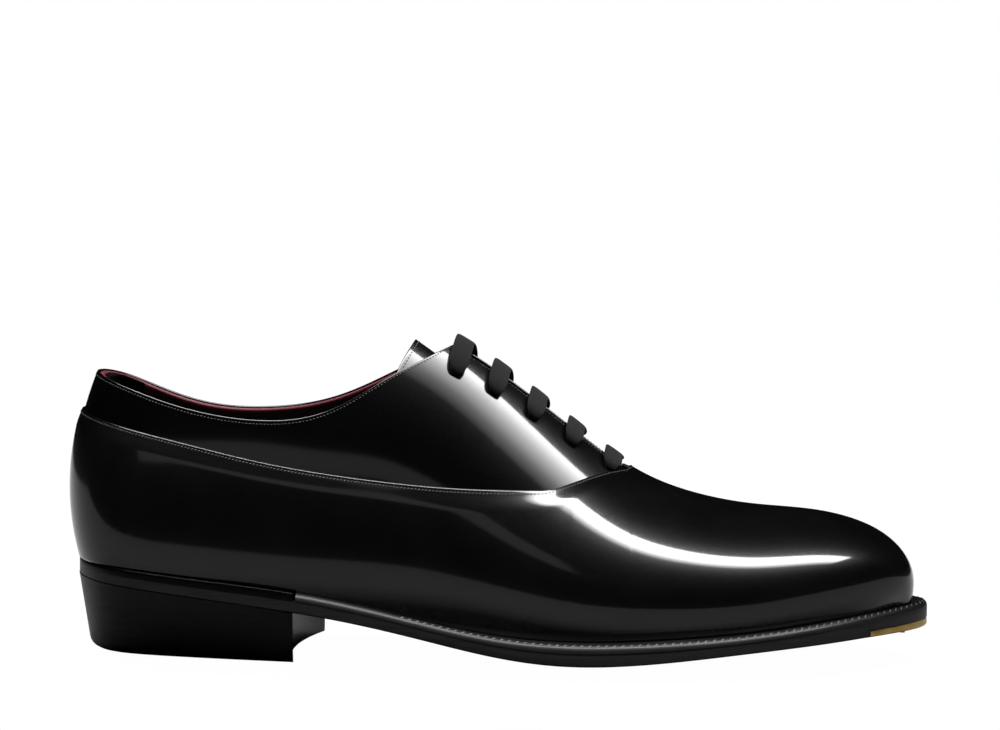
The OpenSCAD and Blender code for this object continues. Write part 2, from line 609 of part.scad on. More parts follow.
SOLE_U = concat([0.15, 0.3, 0.5, 0.75, 1, 1.5], steps(2, 12, 20), [12.5, plate_u - 0.01]);
PLATE_U = [plate_u, 13.2, 13.5, 13.8, 14.1, 14.35, 14.6, 14.85];
PLATE_SCREWS = [[291.5, -9.5], [296, 2.5], [291.5, 14.5]];

module toe_plate_bores(d) {
    for (p = PLATE_SCREWS)
        translate([p[0] * sx, p[1] * sy, edge_z(p[0] * sx) - 2]) cylinder(h = 6, d = d, $fn = 24);
}

module outsole() {
    color(EDGE_BLACK)
        difference() {
            sheet(
                concat(
                    [for (u = SOLE_U) sole_row(u, function (x) 0)],
                    [for (u = PLATE_U) sole_row(u, function (x) toe_plate_h + 0.05)]
                ),
                [for (u = concat(SOLE_U, PLATE_U)) sole_row(u, function (x) outsole_t(x))]
            );
            toe_plate_bores(1.8);
        }
}

module toe_plate() {
    us = [for (u = PLATE_U) u == plate_u ? u + 0.015 : u];
    color(BRASS)
        difference() {
            sheet([for (u = us) sole_row(u, function (x) 0)], [for (u = us) sole_row(u, function (x) toe_plate_h)]);
            toe_plate_bores(1.8);
        }
}

module toe_plate_screws() {
    color(BRASS)
        for (p = PLATE_SCREWS)
            translate([p[0] * sx, p[1] * sy, edge_z(p[0] * sx) - 0.9]) {
                cylinder(h = 4.6, d = 1.8, $fn = 24);
            }
}

// ---- heel ----

heel_taper = 4;
HEEL_U = [0.15, 0.35, 0.6, 0.85, 1.15, 1.5, 2, 2.5, 3, 3.5, 4, breast_u];

// Point on the heel's side or between its sides (w from -1 to 1); the heel narrows downwards, most at the back
function heel_point(u, w, z, inset = 0) = let (
        shrink = function (x) let (q = max(0, 1 - max(0, x / sx / 84)))
            heel_taper * (1 - (1 - q) ^ 2) * (1 - z(x) / edge_z(x)) + inset * (0.25 + 0.75 * q),
        edge = function (k) outline(k, shrink(outline(k, 0)[0])),
        p = edge(u) * (1 - w) / 2 + edge(ring_n - u) * (1 + w) / 2,
        x = p[0] - breast_hollow * (1 - w * w) * ease((u - 1.5) / (breast_u - 1.5))
    ) [x, p[1], z(x)];
function heel_face(z) = [for (u = HEEL_U) [for (w = steps(-1, 1, 10)) heel_point(u, w, z)]];

module heel_layer(low, high) {
    difference() {
        sheet(heel_face(low), heel_face(high));
        nail_bores();
    }
}

module nail_bores() {
    for (a = [0:NAILS - 1])
        translate([nail_x(a), nail_y(a), -1]) cylinder(h = nail_h + 1, d = 1.7, $fn = 24);
}

NAILS = 7;
nail_h = top_piece_h + lift_h + 1.5;
function nail_x(a) = 28 - 19 * cos((a - 3) * 40) + 8 * max(0, abs(a - 3) - 2);
function nail_y(a) = 19 * sin((a - 3) * 40) + (a < 3 ? -1 : a > 3 ? 1 : 0) * 3 * max(0, abs(a - 3) - 1);

module heel_wedge() {
    color(EDGE_BLACK)
        sheet(
            heel_face(function (x) top_piece_h + 2 * lift_h + 0.05), heel_face(function (x) edge_z(x) - camber(x) - 0.1)
        );
}

module heel_lift_upper() {
    color(EDGE_BLACK)
        heel_layer(function (x) top_piece_h + lift_h + 0.05, function (x) top_piece_h + 2 * lift_h);
}

module heel_lift_lower() {
    color(EDGE_BLACK) heel_layer(function (x) top_piece_h + 0.05, function (x) top_piece_h + lift_h);
}

// The lower edge is rounded, most at the back: height and inset of its steps
TOP_PIECE_LIP = [[3.2, 0.3], [1.1, 1.1], [0, 3]];

module top_piece() {
    us = concat([0.1, 0.12], HEEL_U);
    n = 7;
    bottom = [for (i = [0:len(us) - 1]) let (m = min(i, 2)) [for (j = [0:2 * n]) let (
            lip = TOP_PIECE_LIP[min(m, j, 2 * n - j)], w = min(1, max(-1, (j - n) / (n - m)))
        ) heel_point(us[i], w, function (x) lip[0], lip[1])]];
    top = [for (u = us) [for (w = steps(-1, 1, 2 * n)) heel_point(u, w, function (x) top_piece_h)]];
    color(RUBBER)
        difference() {
            sheet(bottom, top);
            nail_bores();
        }
}

module heel_nails() {
    color(BRASS)
        for (a = [0:NAILS - 1])
            translate([nail_x(a), nail_y(a), 0.3]) cylinder(h = nail_h - 0.3, d = 1.7, $fn = 24);
}

translate([-nominal_middle * sx, 0, 0]) {
    golosh();
    quarter_lateral();
    quarter_medial();
    quarter_lining();
    vamp_lining();
    heel_grip();
    facing_stays();
    eyelets();
    tongue();
    tongue_lining();
    lace();
    aglets();
    throat_bar();
    toe_puff();
    heel_counter();
    sock_lining();
    insole();
    cork_filler();
    shank();
    welt();
    heel_rand();
    outsole();
    toe_plate();
    toe_plate_screws();
    heel_wedge();
    heel_lift_upper();
    heel_lift_lower();
    top_piece();
    heel_nails();
}
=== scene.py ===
"""Black leather oxford shoe: the looks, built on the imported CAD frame."""
import json
import math

import bmesh
import bpy
import numpy as np
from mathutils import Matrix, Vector

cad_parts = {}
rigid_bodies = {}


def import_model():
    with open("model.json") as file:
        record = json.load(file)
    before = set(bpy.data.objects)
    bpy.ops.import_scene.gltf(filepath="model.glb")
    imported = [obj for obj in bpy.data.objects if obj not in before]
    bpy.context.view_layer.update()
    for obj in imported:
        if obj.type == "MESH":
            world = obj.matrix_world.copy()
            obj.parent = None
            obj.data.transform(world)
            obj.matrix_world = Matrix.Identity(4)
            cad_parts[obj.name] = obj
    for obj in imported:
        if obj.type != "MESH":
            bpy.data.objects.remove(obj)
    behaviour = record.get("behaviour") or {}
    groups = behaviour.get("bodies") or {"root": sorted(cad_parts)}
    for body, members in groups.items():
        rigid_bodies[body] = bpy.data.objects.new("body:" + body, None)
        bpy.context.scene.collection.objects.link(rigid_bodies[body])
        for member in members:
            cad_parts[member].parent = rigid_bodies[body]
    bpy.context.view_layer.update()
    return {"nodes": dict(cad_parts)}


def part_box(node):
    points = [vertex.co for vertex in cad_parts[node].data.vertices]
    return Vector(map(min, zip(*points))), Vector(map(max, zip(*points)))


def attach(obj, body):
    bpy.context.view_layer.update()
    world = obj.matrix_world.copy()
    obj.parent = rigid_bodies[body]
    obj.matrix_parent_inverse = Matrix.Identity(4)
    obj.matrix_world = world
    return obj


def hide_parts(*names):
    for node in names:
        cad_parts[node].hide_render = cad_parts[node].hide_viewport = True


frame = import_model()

scene = bpy.context.scene
MM = 0.001
SOLE_TIP = 302.0                                    # X of the sole's tip, from the heel end of the stations
MIDDLE = SOLE_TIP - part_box("outsole")[1].x / MM     # X of the frame's origin, in the stations' millimetres

# ---------------------------------------------------------------- camera

CAMERA_TURN = math.radians(6.0)
CAMERA_DISTANCE, CAMERA_HEIGHT = 0.834, 0.157
AIM = np.array([151.0 - MIDDLE, 0.0, 101.6]) * MM


def look_at(obj, place, aim):
    obj.location = place
    obj.rotation_euler = (Vector(aim) - Vector(place)).to_track_quat("-Z", "Y").to_euler()


def make_camera():
    data = bpy.data.cameras.new("camera")
    data.lens, data.sensor_width = 85.0, 36.0
    camera = bpy.data.objects.new("camera", data)
    scene.collection.objects.link(camera)
    right = CAMERA_DISTANCE * math.sin(CAMERA_TURN)
    back = CAMERA_DISTANCE * math.cos(CAMERA_TURN)
    look_at(camera, (AIM[0] + right, -back, CAMERA_HEIGHT), AIM)
    scene.camera = camera


make_camera()

# ---------------------------------------------------------------- stations, in millimetres from the heel

# Lower edge of the upper: X, outer side Y, inner side Y
FEATHER = [
    (-1.5, 0, 0), (2.5, -13.5, 13.5), (13, -23.5, 23), (32, -28, 27.5), (57, -29.5, 28.5),
    (84, -30, 27), (110, -31, 25.5), (134, -33.5, 27.5), (156, -37, 33.5), (178, -40.5, 40),
    (200, -42, 44), (222, -40.5, 43.5), (242, -36.5, 40), (259, -30.5, 34.5), (272, -24.5, 28.5),
    (281.5, -18.5, 23), (288, -12.5, 17),
]
# Upper end of each rib
CREST = [
    (11, 0, 116), (14, 8, 116), (23, 13, 116), (44, 16, 116.5), (69, 16, 118), (94, 12, 120.5),
    (117, 5, 119.5), (138, 0, 110), (157, 0, 97), (177, 0, 81.6), (197.8, 0, 66), (218, 0, 57.5),
    (240, 0, 53), (263, 0, 51.4), (284, 0, 45), (295.5, 0, 33), (296, 0, 21),
]
# Shape of each rib: lean and length at the foot, spread and fall at the crest, turn to the toe
RIB = [
    (15, 40, 16, 70, 0), (14.5, 40, 16, 70, 0), (14, 39, 16, 70, 0), (14, 38, 18, 70, 0),
    (14, 38, 20, 68, 0), (14, 38, 22, 58, 0), (16, 40, 26, 30, 0), (20, 40, 27, 7, 0),
    (24, 37, 27, 7, 0), (24, 34, 26, 7, 0), (24, 31, 25, 4, 0), (26, 27, 26, 1, 0),
    (28, 24, 26, 0, 5), (30, 22, 24, 0, 14), (30, 18, 20, 0, 30), (28, 12, 16, 0, 55),
    (20, 6, 9, 0, 85),
]
# Sole outline: X, outer side Y, inner side Y
SOLE = [
    (-2.4, 0, 0), (8, -20.5, 20.5), (24, -28, 28), (45, -31, 31), (70, -32.5, 31.5),
    (100, -33, 28.5), (130, -36.5, 29.5), (155, -42, 36), (178, -46, 43.5), (200, -47.5, 47.5),
    (222, -46, 47.3), (245, -40, 43), (265, -32, 36.5), (282, -21, 27.5), (295, -9, 16),
    (302, 3.5, 3.5),
]
# Along X: the sole edge's underside and thickness, the arch of its underside, the golosh's upper
# edge, and the topline's height on the outer and the inner side
EDGE_Z = [26.5, 24, 21.2, 18.2, 14.5, 9.8, 5.2, 2.9, 3.9, 6.4, 8.6, 10.4, 11.8, 13.2]
EDGE_T = [6, 6.3, 6.6, 7, 6.6, 6.3, 6.6, 7.4, 7.2, 6.3, 6.3, 7.6, 8.5, 8.6]
CAMBER = [0, 0, 0, 0, 0.6, 1.6, 2.5, 2.8, 2.7, 2.4, 1.9, 1.3, 0.6, 0.2]
SEAM_Z = [86, 80.4, 75.6, 70.5, 66.6, 64, 62.2, 61.6, 61.5, 61.5]
TOP_OUTER = [101.4, 97.6, 93.7, 89.9, 86.9, 84.9, 84.1, 84.9, 88.6, 95.5, 102.6, 108.5, 116, 124]
TOP_INNER = [101.4, 97.2, 91.6, 87.2, 85, 84.6, 85.4, 87.6, 91.8, 97.6, 103.4, 108.5, 116, 124]
EDGE_STEP, TOP_STEP, SEAM_STEP = 25, 12, 22
CLOSING, THROAT, TOE = 8.6, 10, 16      # ribs where the golosh's edge turns inwards, meets itself, and ends
ROUND_HEEL = 4                          # ribs nearer the heel than this have no facing

# Thicknesses, and how deep each layer lies under the golosh's outer face
LEATHER, LINING, QUARTER = 1.4, 0.8, 1.2
SKIVE = 0.55                            # how much the golosh is thinned at its upper edge
QUARTER_IN = LEATHER + 0.1
LINING_IN = QUARTER_IN + QUARTER + 1.05
LINING_OUT = LINING_IN + LINING
TONGUE_IN = LINING_OUT + 4.3
LACE_IN = LINING_OUT + 1.8

# ---------------------------------------------------------------- curves


def soft(f):
    """Spline weights that make the curve pass through its stations."""
    f = np.asarray(f, float).reshape(len(f), -1)
    e = np.vstack([2 * f[0] - f[1], f, 2 * f[-1] - f[-2]])
    return (8 * f - e[:-2] - e[2:]) / 6


def soft_ring(f):
    f = np.asarray(f, float)
    return (8 * f - np.roll(f, 1, 0) - np.roll(f, -1, 0)) / 6


def blend4(c, u):
    w = [(1 - u) ** 3, 3 * u**3 - 6 * u**2 + 4, 1 + 3 * u + 3 * u**2 - 3 * u**3, u**3]
    return sum(w[k][..., None] * c[k] for k in range(4)) / 6


def spline(c, t):
    t = np.asarray(t, float)
    ext = np.vstack([2 * c[0] - c[1], c, 2 * c[-1] - c[-2]])
    i = np.clip(np.floor(t).astype(int), 0, len(c) - 2)
    return blend4([ext[i + k] for k in range(4)], t - i)


def spline_ring(c, t):
    t = np.mod(np.asarray(t, float), len(c))
    i = np.floor(t).astype(int)
    return blend4([c[(i + k - 1) % len(c)] for k in range(4)], t - i)


def from_heel(f, flip):
    """The stations with the mirror image of the first one put before them."""
    return soft([[a * b for a, b in zip(f[1], flip)], *f])


def solve(g, low, high, n=24):
    """Where each increasing function in the array g crosses zero between low and high."""
    low, high = np.array(low, float), np.array(high, float)
    for _ in range(n):
        mid = (low + high) / 2
        below = g(mid) < 0
        low, high = np.where(below, mid, low), np.where(below, high, mid)
    return (low + high) / 2


def ease(u):
    q = np.clip(u, 0, 1)
    return q * q * (3 - 2 * q)


def unit(v):
    return v / np.maximum(np.linalg.norm(v, axis=-1, keepdims=True), 1e-9)


FEATHER_C = from_heel(FEATHER, (1, -1, -1))
CREST_C = from_heel(CREST, (1, -1, 1))
RIB_C = from_heel(RIB, (1, 1, 1, 1, 1))
SOLE_C = soft_ring([(s[0], s[1]) for s in SOLE] + [(s[0], s[2]) for s in SOLE[-2:0:-1]])
SOLE_N = len(SOLE_C)


def along_x(stations, step):
    c = soft(stations)
    return lambda x: spline(c, np.asarray(x) / step)[..., 0]


edge_z, edge_t, camber = (along_x(f, EDGE_STEP) for f in (EDGE_Z, EDGE_T, CAMBER))
seam_z = along_x(SEAM_Z, SEAM_STEP)
top_outer, top_inner = along_x(TOP_OUTER, TOP_STEP), along_x(TOP_INNER, TOP_STEP)


def welt_top(x):
    return edge_z(x) + edge_t(x)


def outsole_t(x):
    return edge_t(x) * 0.62


# ---------------------------------------------------------------- the upper's surface


def feather(t, side):
    f = spline(FEATHER_C, t + 1)
    return np.stack([f[..., 0], np.where(side < 0, f[..., 1], f[..., 2])], -1)


def rib(tau):
    """Four control points for each station in tau; a negative station is on the outer side."""
    tau = np.atleast_1d(np.asarray(tau, float))
    side, t = np.where(tau < 0, -1.0, 1.0), np.abs(tau)
    foot = feather(t, side)
    along = unit(feather(t + 0.01, side) - feather(t - 0.01, side))
    out = np.stack([-side * along[:, 1], side * along[:, 0]], -1)
    c, s = spline(CREST_C, t + 1), spline(RIB_C, t + 1)
    lean, fall, turn = (np.radians(s[:, k]) for k in (0, 3, 4))
    w = ease((t - 3) / 2)
    over = unit(np.stack([out[:, 0] * (1 - w), out[:, 1] * (1 - w) + side * w], -1))
    p0 = np.column_stack([foot, welt_top(foot[:, 0])])
    p3 = np.stack([c[:, 0], c[:, 1] * side, c[:, 2]], -1)
    up = np.column_stack([np.sin(lean)[:, None] * out, np.cos(lean)])
    ahead = np.column_stack([along, 0 * t])
    p1 = p0 + s[:, 1:2] * (up * np.cos(turn)[:, None] + ahead * np.sin(turn)[:, None])
    p2 = p3 + s[:, 2:3] * np.column_stack([over * np.cos(fall)[:, None], -np.sin(fall)])
    return np.stack([p0, p1, p2, p3], 1)


def on_rib(r, v):
    v = v[..., None]
    w = 1 - v
    r = r[:, :, None, :]
    return w**3 * r[:, 0] + 3 * w**2 * v * r[:, 1] + 3 * w * v**2 * r[:, 2] + v**3 * r[:, 3]


def rib_slope(r, v):
    v = v[..., None]
    d = (r[:, 1:] - r[:, :-1])[:, :, None, :]
    return (1 - v) ** 2 * d[:, 0] + 2 * (1 - v) * v * d[:, 1] + v**2 * d[:, 2]


def skin(tau, v, depth=0.0):
    """Points under the surface, and the outward normals, for stations (n) and heights (n, m)."""
    tau = np.atleast_1d(np.asarray(tau, float))
    v = np.asarray(v, float).reshape(len(tau), -1)
    r = rib(tau)
    n = np.cross(rib_slope(r, v), on_rib(rib(tau + 0.02), v) - on_rib(rib(tau - 0.02), v))
    n[..., 1] = np.where((v > 0.9999) | (np.abs(tau)[:, None] < 1e-6), 0, n[..., 1])
    n = unit(n)
    return on_rib(r, v) - np.broadcast_to(depth, v.shape)[..., None] * n, n


def rib_length(tau):
    """Near enough the length of the curve: its chord and a tenth more."""
    r = rib(tau)
    return 1.1 * np.linalg.norm(r[:, 3] - r[:, 0], axis=1)


def at(r, v):
    return on_rib(r, v[:, None])[:, 0]


def seam_v(tau):
    """Height of the golosh's upper edge, which closes to the ridge at the throat."""
    tau = np.asarray(tau, float)
    r = rib(tau)
    low, high = 0 * tau, 0 * tau + 1

    def over_seam(v):
        p = at(r, v)
        return p[:, 2] - seam_z(p[:, 0])

    plain = solve(over_seam, low, high)
    q = np.clip((np.abs(tau) - CLOSING) / (THROAT - CLOSING), 0, 1)
    half = np.abs(at(r, plain)[:, 1]) * np.sqrt(1 - q * q)
    closing = solve(lambda v: half - np.abs(at(r, v)[:, 1]), plain, high)
    return np.where(np.abs(tau) >= THROAT, 1.0, np.where(q <= 0, plain, closing))


def side_v(tau, y):
    """Height on the rib where it is y from the middle."""
    tau = np.atleast_1d(np.asarray(tau, float))
    r = rib(tau)
    return solve(lambda v: y - np.abs(at(r, v)[:, 1]), 0.35 + 0 * tau, 1 + 0 * tau)


def facing_y(x):
    """Half the gap between the facings, narrowing towards the throat."""
    return (2 + 10 * np.clip((197 - x) / 64, 0, 1)) / 2


def facing_v(tau):
    """There is no facing round the heel, so there the topline alone is the edge."""
    r = rib(tau)

    def over(v):
        p = at(r, v)
        return facing_y(p[:, 0]) - np.abs(p[:, 1])

    return np.where(np.abs(tau) < ROUND_HEEL, 2.0, solve(over, 0.35 + 0 * tau, 1 + 0 * tau))


def topline_v(tau):
    r = rib(tau)

    def over(v):
        p = at(r, v)
        return p[:, 2] - np.where(tau < 0, top_outer(p[:, 0]), top_inner(p[:, 0]))

    return solve(over, 0 * tau, 1 + 0 * tau)


def edge_v(tau):
    """The lower of topline and facing, with the corner between them rounded."""
    tau = np.asarray(tau, float)
    a, b, corner = topline_v(tau), facing_v(tau), 0.05
    return np.minimum(a, b) - np.maximum(corner - np.abs(a - b), 0) ** 2 / (4 * corner)


def quarter_low(tau):
    """The quarters reach 9 mm under the golosh."""
    return np.maximum(0, seam_v(tau) - 9 / rib_length(tau))


# ---------------------------------------------------------------- meshes


def to_frame(p):
    return (np.asarray(p, float).reshape(-1, 3) - [MIDDLE, 0, 0]) * MM


def mesh_piece(name, points, faces, material, uv=None):
    """A smooth mesh from points in station millimetres; uv is one pair for each point."""
    mesh = bpy.data.meshes.new(name)
    mesh.from_pydata(to_frame(points).tolist(), [], faces)
    mesh.validate()
    mesh.shade_smooth()
    if uv is not None:
        layer = mesh.uv_layers.new(name="UVMap")
        index = np.zeros(len(mesh.loops), int)
        mesh.loops.foreach_get("vertex_index", index)
        layer.data.foreach_set("uv", np.asarray(uv, float)[index].ravel())
    mesh.materials.append(material)
    obj = bpy.data.objects.new(name, mesh)
    scene.collection.objects.link(obj)
    return obj


def sheet_faces(ni, nj, sewn=0):
    """Quads of a sheet with two sides; sewn end columns share their last point with the far end."""

    def point(s, i, j):
        return (s * (ni + 1) + (ni - i if j == nj and i > ni - sewn else i)) * (nj + 1) + j

    faces = []
    for i in range(ni):
        for j in range(nj):
            a, b, c, d = (point(0, *p) for p in ((i, j), (i, j + 1), (i + 1, j + 1), (i + 1, j)))
            faces.append((a, b, c, d))
            a, b, c, d = (point(1, *p) for p in ((i, j), (i + 1, j), (i + 1, j + 1), (i, j + 1)))
            faces.append((a, b, c, d))
        faces.append((point(0, i, 0), point(0, i + 1, 0), point(1, i + 1, 0), point(1, i, 0)))
        if sewn - 1 <= i < ni - sewn + 1:
            faces.append((point(0, i + 1, nj), point(0, i, nj), point(1, i, nj), point(1, i + 1, nj)))
    for j in range(nj):
        faces.append((point(0, 0, j + 1), point(0, 0, j), point(1, 0, j), point(1, 0, j + 1)))
        faces.append((point(0, ni, j), point(0, ni, j + 1), point(1, ni, j + 1), point(1, ni, j)))
    return faces


def sheet_piece(name, outer, inner, material, sewn=0, uv=None):
    ni, nj = outer.shape[0] - 1, outer.shape[1] - 1
    points = np.concatenate([outer.reshape(-1, 3), inner.reshape(-1, 3)])
    return mesh_piece(name, points, sheet_faces(ni, nj, sewn), material, uv)


def leather_sheet(name, tau, low, high, rows, depth, thick, material, sewn=0, fade=1.0, skive=0.0):
    """A piece of the upper with a rounded cut edge along its top, thinned towards it by skive."""
    length = rib_length(tau)[:, None]
    fade = np.broadcast_to(fade, tau.shape)[:, None]
    r = (thick - skive) / 2 * fade
    turns = np.radians([0, 20, 40, 60, 78])
    top = high[:, None]
    main = low[:, None] + (top - r / length - low[:, None]) * np.linspace(0, 1, rows)[None, :-1]
    v = np.concatenate([main, top - r / length * (1 - np.sin(turns))], 1)
    d = np.concatenate([0 * main, r * (1 - np.cos(turns))], 1)
    thinned = skive * fade * (1 - ease((top - v) * length / 7))
    outer, _ = skin(tau, v, depth + thinned + d)
    inner, _ = skin(tau, v, depth + thick - d)
    from_top = (top - v) * length * MM
    uv = np.stack([np.broadcast_to(tau[:, None] * 0.02, v.shape), from_top], -1).reshape(-1, 2)
    return sheet_piece(name, outer, inner, material, sewn, np.concatenate([uv, uv]))


def bar_piece(name, sections, material, uv=None):
    """A bar with sections of equal numbers of points along a path, closed at its ends."""
    m = sections.shape[1]
    faces = [tuple(range(m)), tuple(reversed(range((len(sections) - 1) * m, len(sections) * m)))]
    for i in range(len(sections) - 1):
        for k in range(m):
            a, b = i * m + k, i * m + (k + 1) % m
            faces.append((a, a + m, b + m, b))
    return mesh_piece(name, sections.reshape(-1, 3), faces, material, uv)


def weld(obj):
    """Points that lie on each other become one, so that the shading runs on across them."""
    work = bmesh.new()
    work.from_mesh(obj.data)
    bmesh.ops.remove_doubles(work, verts=work.verts, dist=0.002 * MM)
    work.to_mesh(obj.data)
    work.free()
    return obj


def sharpen(obj, degrees):
    """Edges that turn by more than the angle stay crisp."""
    obj.data.set_sharp_from_angle(angle=math.radians(degrees))
    return obj


# ---------------------------------------------------------------- materials


class Nodes:
    """A node material, built by short calls."""

    def __init__(self, name):
        self.mat = bpy.data.materials.new(name)
        self.mat.use_nodes = True
        self.tree = self.mat.node_tree
        self.bsdf = self.tree.nodes["Principled BSDF"]
        self.coord = self.tree.nodes.new("ShaderNodeTexCoord")

    def set(self, **values):
        for key, value in values.items():
            self.bsdf.inputs[key.replace("_", " ")].default_value = value

    def link(self, a, b):
        self.tree.links.new(a, b)

    def noise(self, scale, detail=3.0, rough=0.55, stretch=None):
        n = self.tree.nodes.new("ShaderNodeTexNoise")
        n.inputs["Scale"].default_value = scale
        n.inputs["Detail"].default_value = detail
        n.inputs["Roughness"].default_value = rough
        self.link(self.place(stretch), n.inputs["Vector"])
        return n.outputs["Fac"]

    def place(self, stretch):
        out = self.coord.outputs["Object"]
        if stretch is None:
            return out
        m = self.tree.nodes.new("ShaderNodeMapping")
        m.inputs["Scale"].default_value = stretch
        self.link(out, m.inputs["Vector"])
        return m.outputs["Vector"]

    def cells(self, scale, feature="DISTANCE_TO_EDGE"):
        n = self.tree.nodes.new("ShaderNodeTexVoronoi")
        n.feature = feature
        n.inputs["Scale"].default_value = scale
        self.link(self.coord.outputs["Object"], n.inputs["Vector"])
        return n.outputs["Distance"]

    def ribs(self, direction):
        n = self.tree.nodes.new("ShaderNodeTexWave")
        n.bands_direction = direction
        n.inputs["Scale"].default_value = 1.0
        n.inputs["Distortion"].default_value = 0.0
        self.link(self.coord.outputs["UV"], n.inputs["Vector"])
        return n.outputs["Fac"]

    def span(self, value, low, high, start=0.0, end=1.0):
        n = self.tree.nodes.new("ShaderNodeMapRange")
        n.inputs["From Min"].default_value, n.inputs["From Max"].default_value = start, end
        n.inputs["To Min"].default_value, n.inputs["To Max"].default_value = low, high
        self.link(value, n.inputs["Value"])
        return n.outputs["Result"]

    def math(self, kind, a, b):
        n = self.tree.nodes.new("ShaderNodeMath")
        n.operation = kind
        for k, value in enumerate((a, b)):
            if isinstance(value, (int, float)):
                n.inputs[k].default_value = value
            else:
                self.link(value, n.inputs[k])
        return n.outputs[0]

    def ramp(self, value, *stops):
        n = self.tree.nodes.new("ShaderNodeValToRGB")
        while len(n.color_ramp.elements) < len(stops):
            n.color_ramp.elements.new(0.5)
        for stop, (position, colour) in zip(n.color_ramp.elements, stops):
            stop.position, stop.color = position, (*colour, 1)
        self.link(value, n.inputs["Fac"])
        return n.outputs["Color"]

    def color(self, value, *stops):
        self.link(self.ramp(value, *stops), self.bsdf.inputs["Base Color"])

    def roughness(self, value, low, high):
        self.link(self.span(value, low, high), self.bsdf.inputs["Roughness"])

    def bump(self, *layers, target="Normal"):
        """Each layer is (height value, depth in metres)."""
        normal = None
        for height, distance in layers:
            n = self.tree.nodes.new("ShaderNodeBump")
            n.inputs["Strength"].default_value = 1.0
            n.inputs["Distance"].default_value = distance
            self.link(height, n.inputs["Height"])
            if normal is not None:
                self.link(normal, n.inputs["Normal"])
            normal = n.outputs["Normal"]
        self.link(normal, self.bsdf.inputs[target])


def patent(name):
    """Black leather under a high polish: a clear hard gloss with faint waviness over a dull base."""
    m = Nodes(name)
    m.set(Roughness=0.3, IOR=1.45, Coat_Weight=1.0, Coat_Roughness=0.09, Coat_IOR=1.36)
    m.set(Specular_IOR_Level=0.1)
    m.color(m.noise(60, 4), (0.3, (0.0004, 0.0004, 0.0005)), (0.7, (0.0009, 0.0009, 0.001)))
    m.roughness(m.noise(900, 2), 0.26, 0.36)
    m.bump((m.cells(1500), 0.00001), (m.noise(35, 2), 0.00012))
    m.bump((m.noise(28, 1.5, 0.4), 0.00018), (m.noise(420, 2), 0.000004), target="Coat Normal")
    return m.mat


def smooth_leather(name, dark, light, rough=(0.45, 0.6)):
    """Lining and sock leather: soft sheen over fine pores."""
    m = Nodes(name)
    m.set(IOR=1.45, Specular_IOR_Level=0.4)
    m.color(m.noise(120, 5), (0.3, dark), (0.7, light))
    m.roughness(m.noise(700, 3), *rough)
    m.bump((m.cells(1300), 0.00005), (m.noise(160, 3), 0.00012))
    return m.mat


def lining_painted_shade(name):
    """Dark red lining leather with painted shade: the wall below the top edge is painted dark as shade, and
    the top edge is kept brighter as if lit.
    """
    m = Nodes(name)
    m.set(IOR=1.45, Specular_IOR_Level=0.3)
    split = m.tree.nodes.new("ShaderNodeSeparateXYZ")
    m.link(m.coord.outputs["UV"], split.inputs[0])
    below = m.math("ADD", split.outputs["Y"], m.math("MULTIPLY", m.noise(300, 3), 0.0004))
    # Painted shade and light: about the top millimetre is bright red as the lit edge, and below it the wall
    # is painted dark red as shade.
    m.color(m.span(below, 0, 1, 0.0009, 0.0019), (0.0, (0.055, 0.004, 0.008)), (1.0, (0.011, 0.0022, 0.003)))
    m.roughness(m.noise(700, 3), 0.5, 0.65)
    m.bump((m.cells(1300), 0.00005), (m.noise(160, 3), 0.00012))
    return m.mat


def edge_leather(name, dark, light, rough):
    """Waxed and burnished sole edge: thin pressed layers that show faintly under the wax."""
    m = Nodes(name)
    m.set(IOR=1.45, Coat_Weight=0.12, Coat_Roughness=0.25, Coat_IOR=1.4, Specular_IOR_Level=0.15)
    streaks = m.noise(260, 4, stretch=(0.25, 0.25, 4))
    m.color(streaks, (0.3, dark), (0.75, light))
    m.roughness(m.noise(500, 3), *rough)
    m.bump((m.noise(900, 3, stretch=(0.12, 0.12, 2.2)), 0.00003), (m.noise(220, 2), 0.00008))
    return m.mat


def woven(name):
    """Flat cotton tape, matt, with fine ribs along it and across."""
    m = Nodes(name)
    m.set(IOR=1.4, Specular_IOR_Level=0.1, Sheen_Weight=0.03, Sheen_Roughness=0.5)
    weave = m.math("MULTIPLY", m.ribs("X"), m.ribs("Y"))
    mottled = m.math("ADD", m.math("MULTIPLY", weave, 0.6), m.math("MULTIPLY", m.noise(900, 3), 0.4))
    m.color(mottled, (0.15, (0.0006, 0.0006, 0.0007)), (0.7, (0.0028, 0.0028, 0.003)))
    m.roughness(m.noise(900, 2), 0.75, 0.95)
    m.bump((weave, 0.00012), (m.noise(2500, 2), 0.00004))
    return m.mat


def thread(name, dark, light):
    """Waxed thread, faintly uneven."""
    m = Nodes(name)
    m.set(IOR=1.45, Specular_IOR_Level=0.4)
    m.color(m.noise(1500, 2), (0.3, dark), (0.7, light))
    m.roughness(m.noise(1200, 2), 0.4, 0.6)
    m.bump((m.noise(3000, 2), 0.00003))
    return m.mat


def brass(name):
    m = Nodes(name)
    m.set(Metallic=1.0)
    m.color(m.noise(180, 4), (0.3, (0.26, 0.17, 0.05)), (0.7, (0.38, 0.25, 0.085)))
    m.roughness(m.noise(600, 4, stretch=(0.2, 3, 1)), 0.22, 0.42)
    m.bump((m.noise(900, 3, stretch=(0.15, 3, 1)), 0.00001))
    return m.mat


def steel(name):
    m = Nodes(name)
    m.set(Metallic=1.0)
    m.color(m.noise(200, 3), (0.3, (0.4, 0.4, 0.41)), (0.7, (0.6, 0.6, 0.62)))
    m.roughness(m.noise(500, 3, stretch=(0.1, 3, 1)), 0.3, 0.5)
    return m.mat


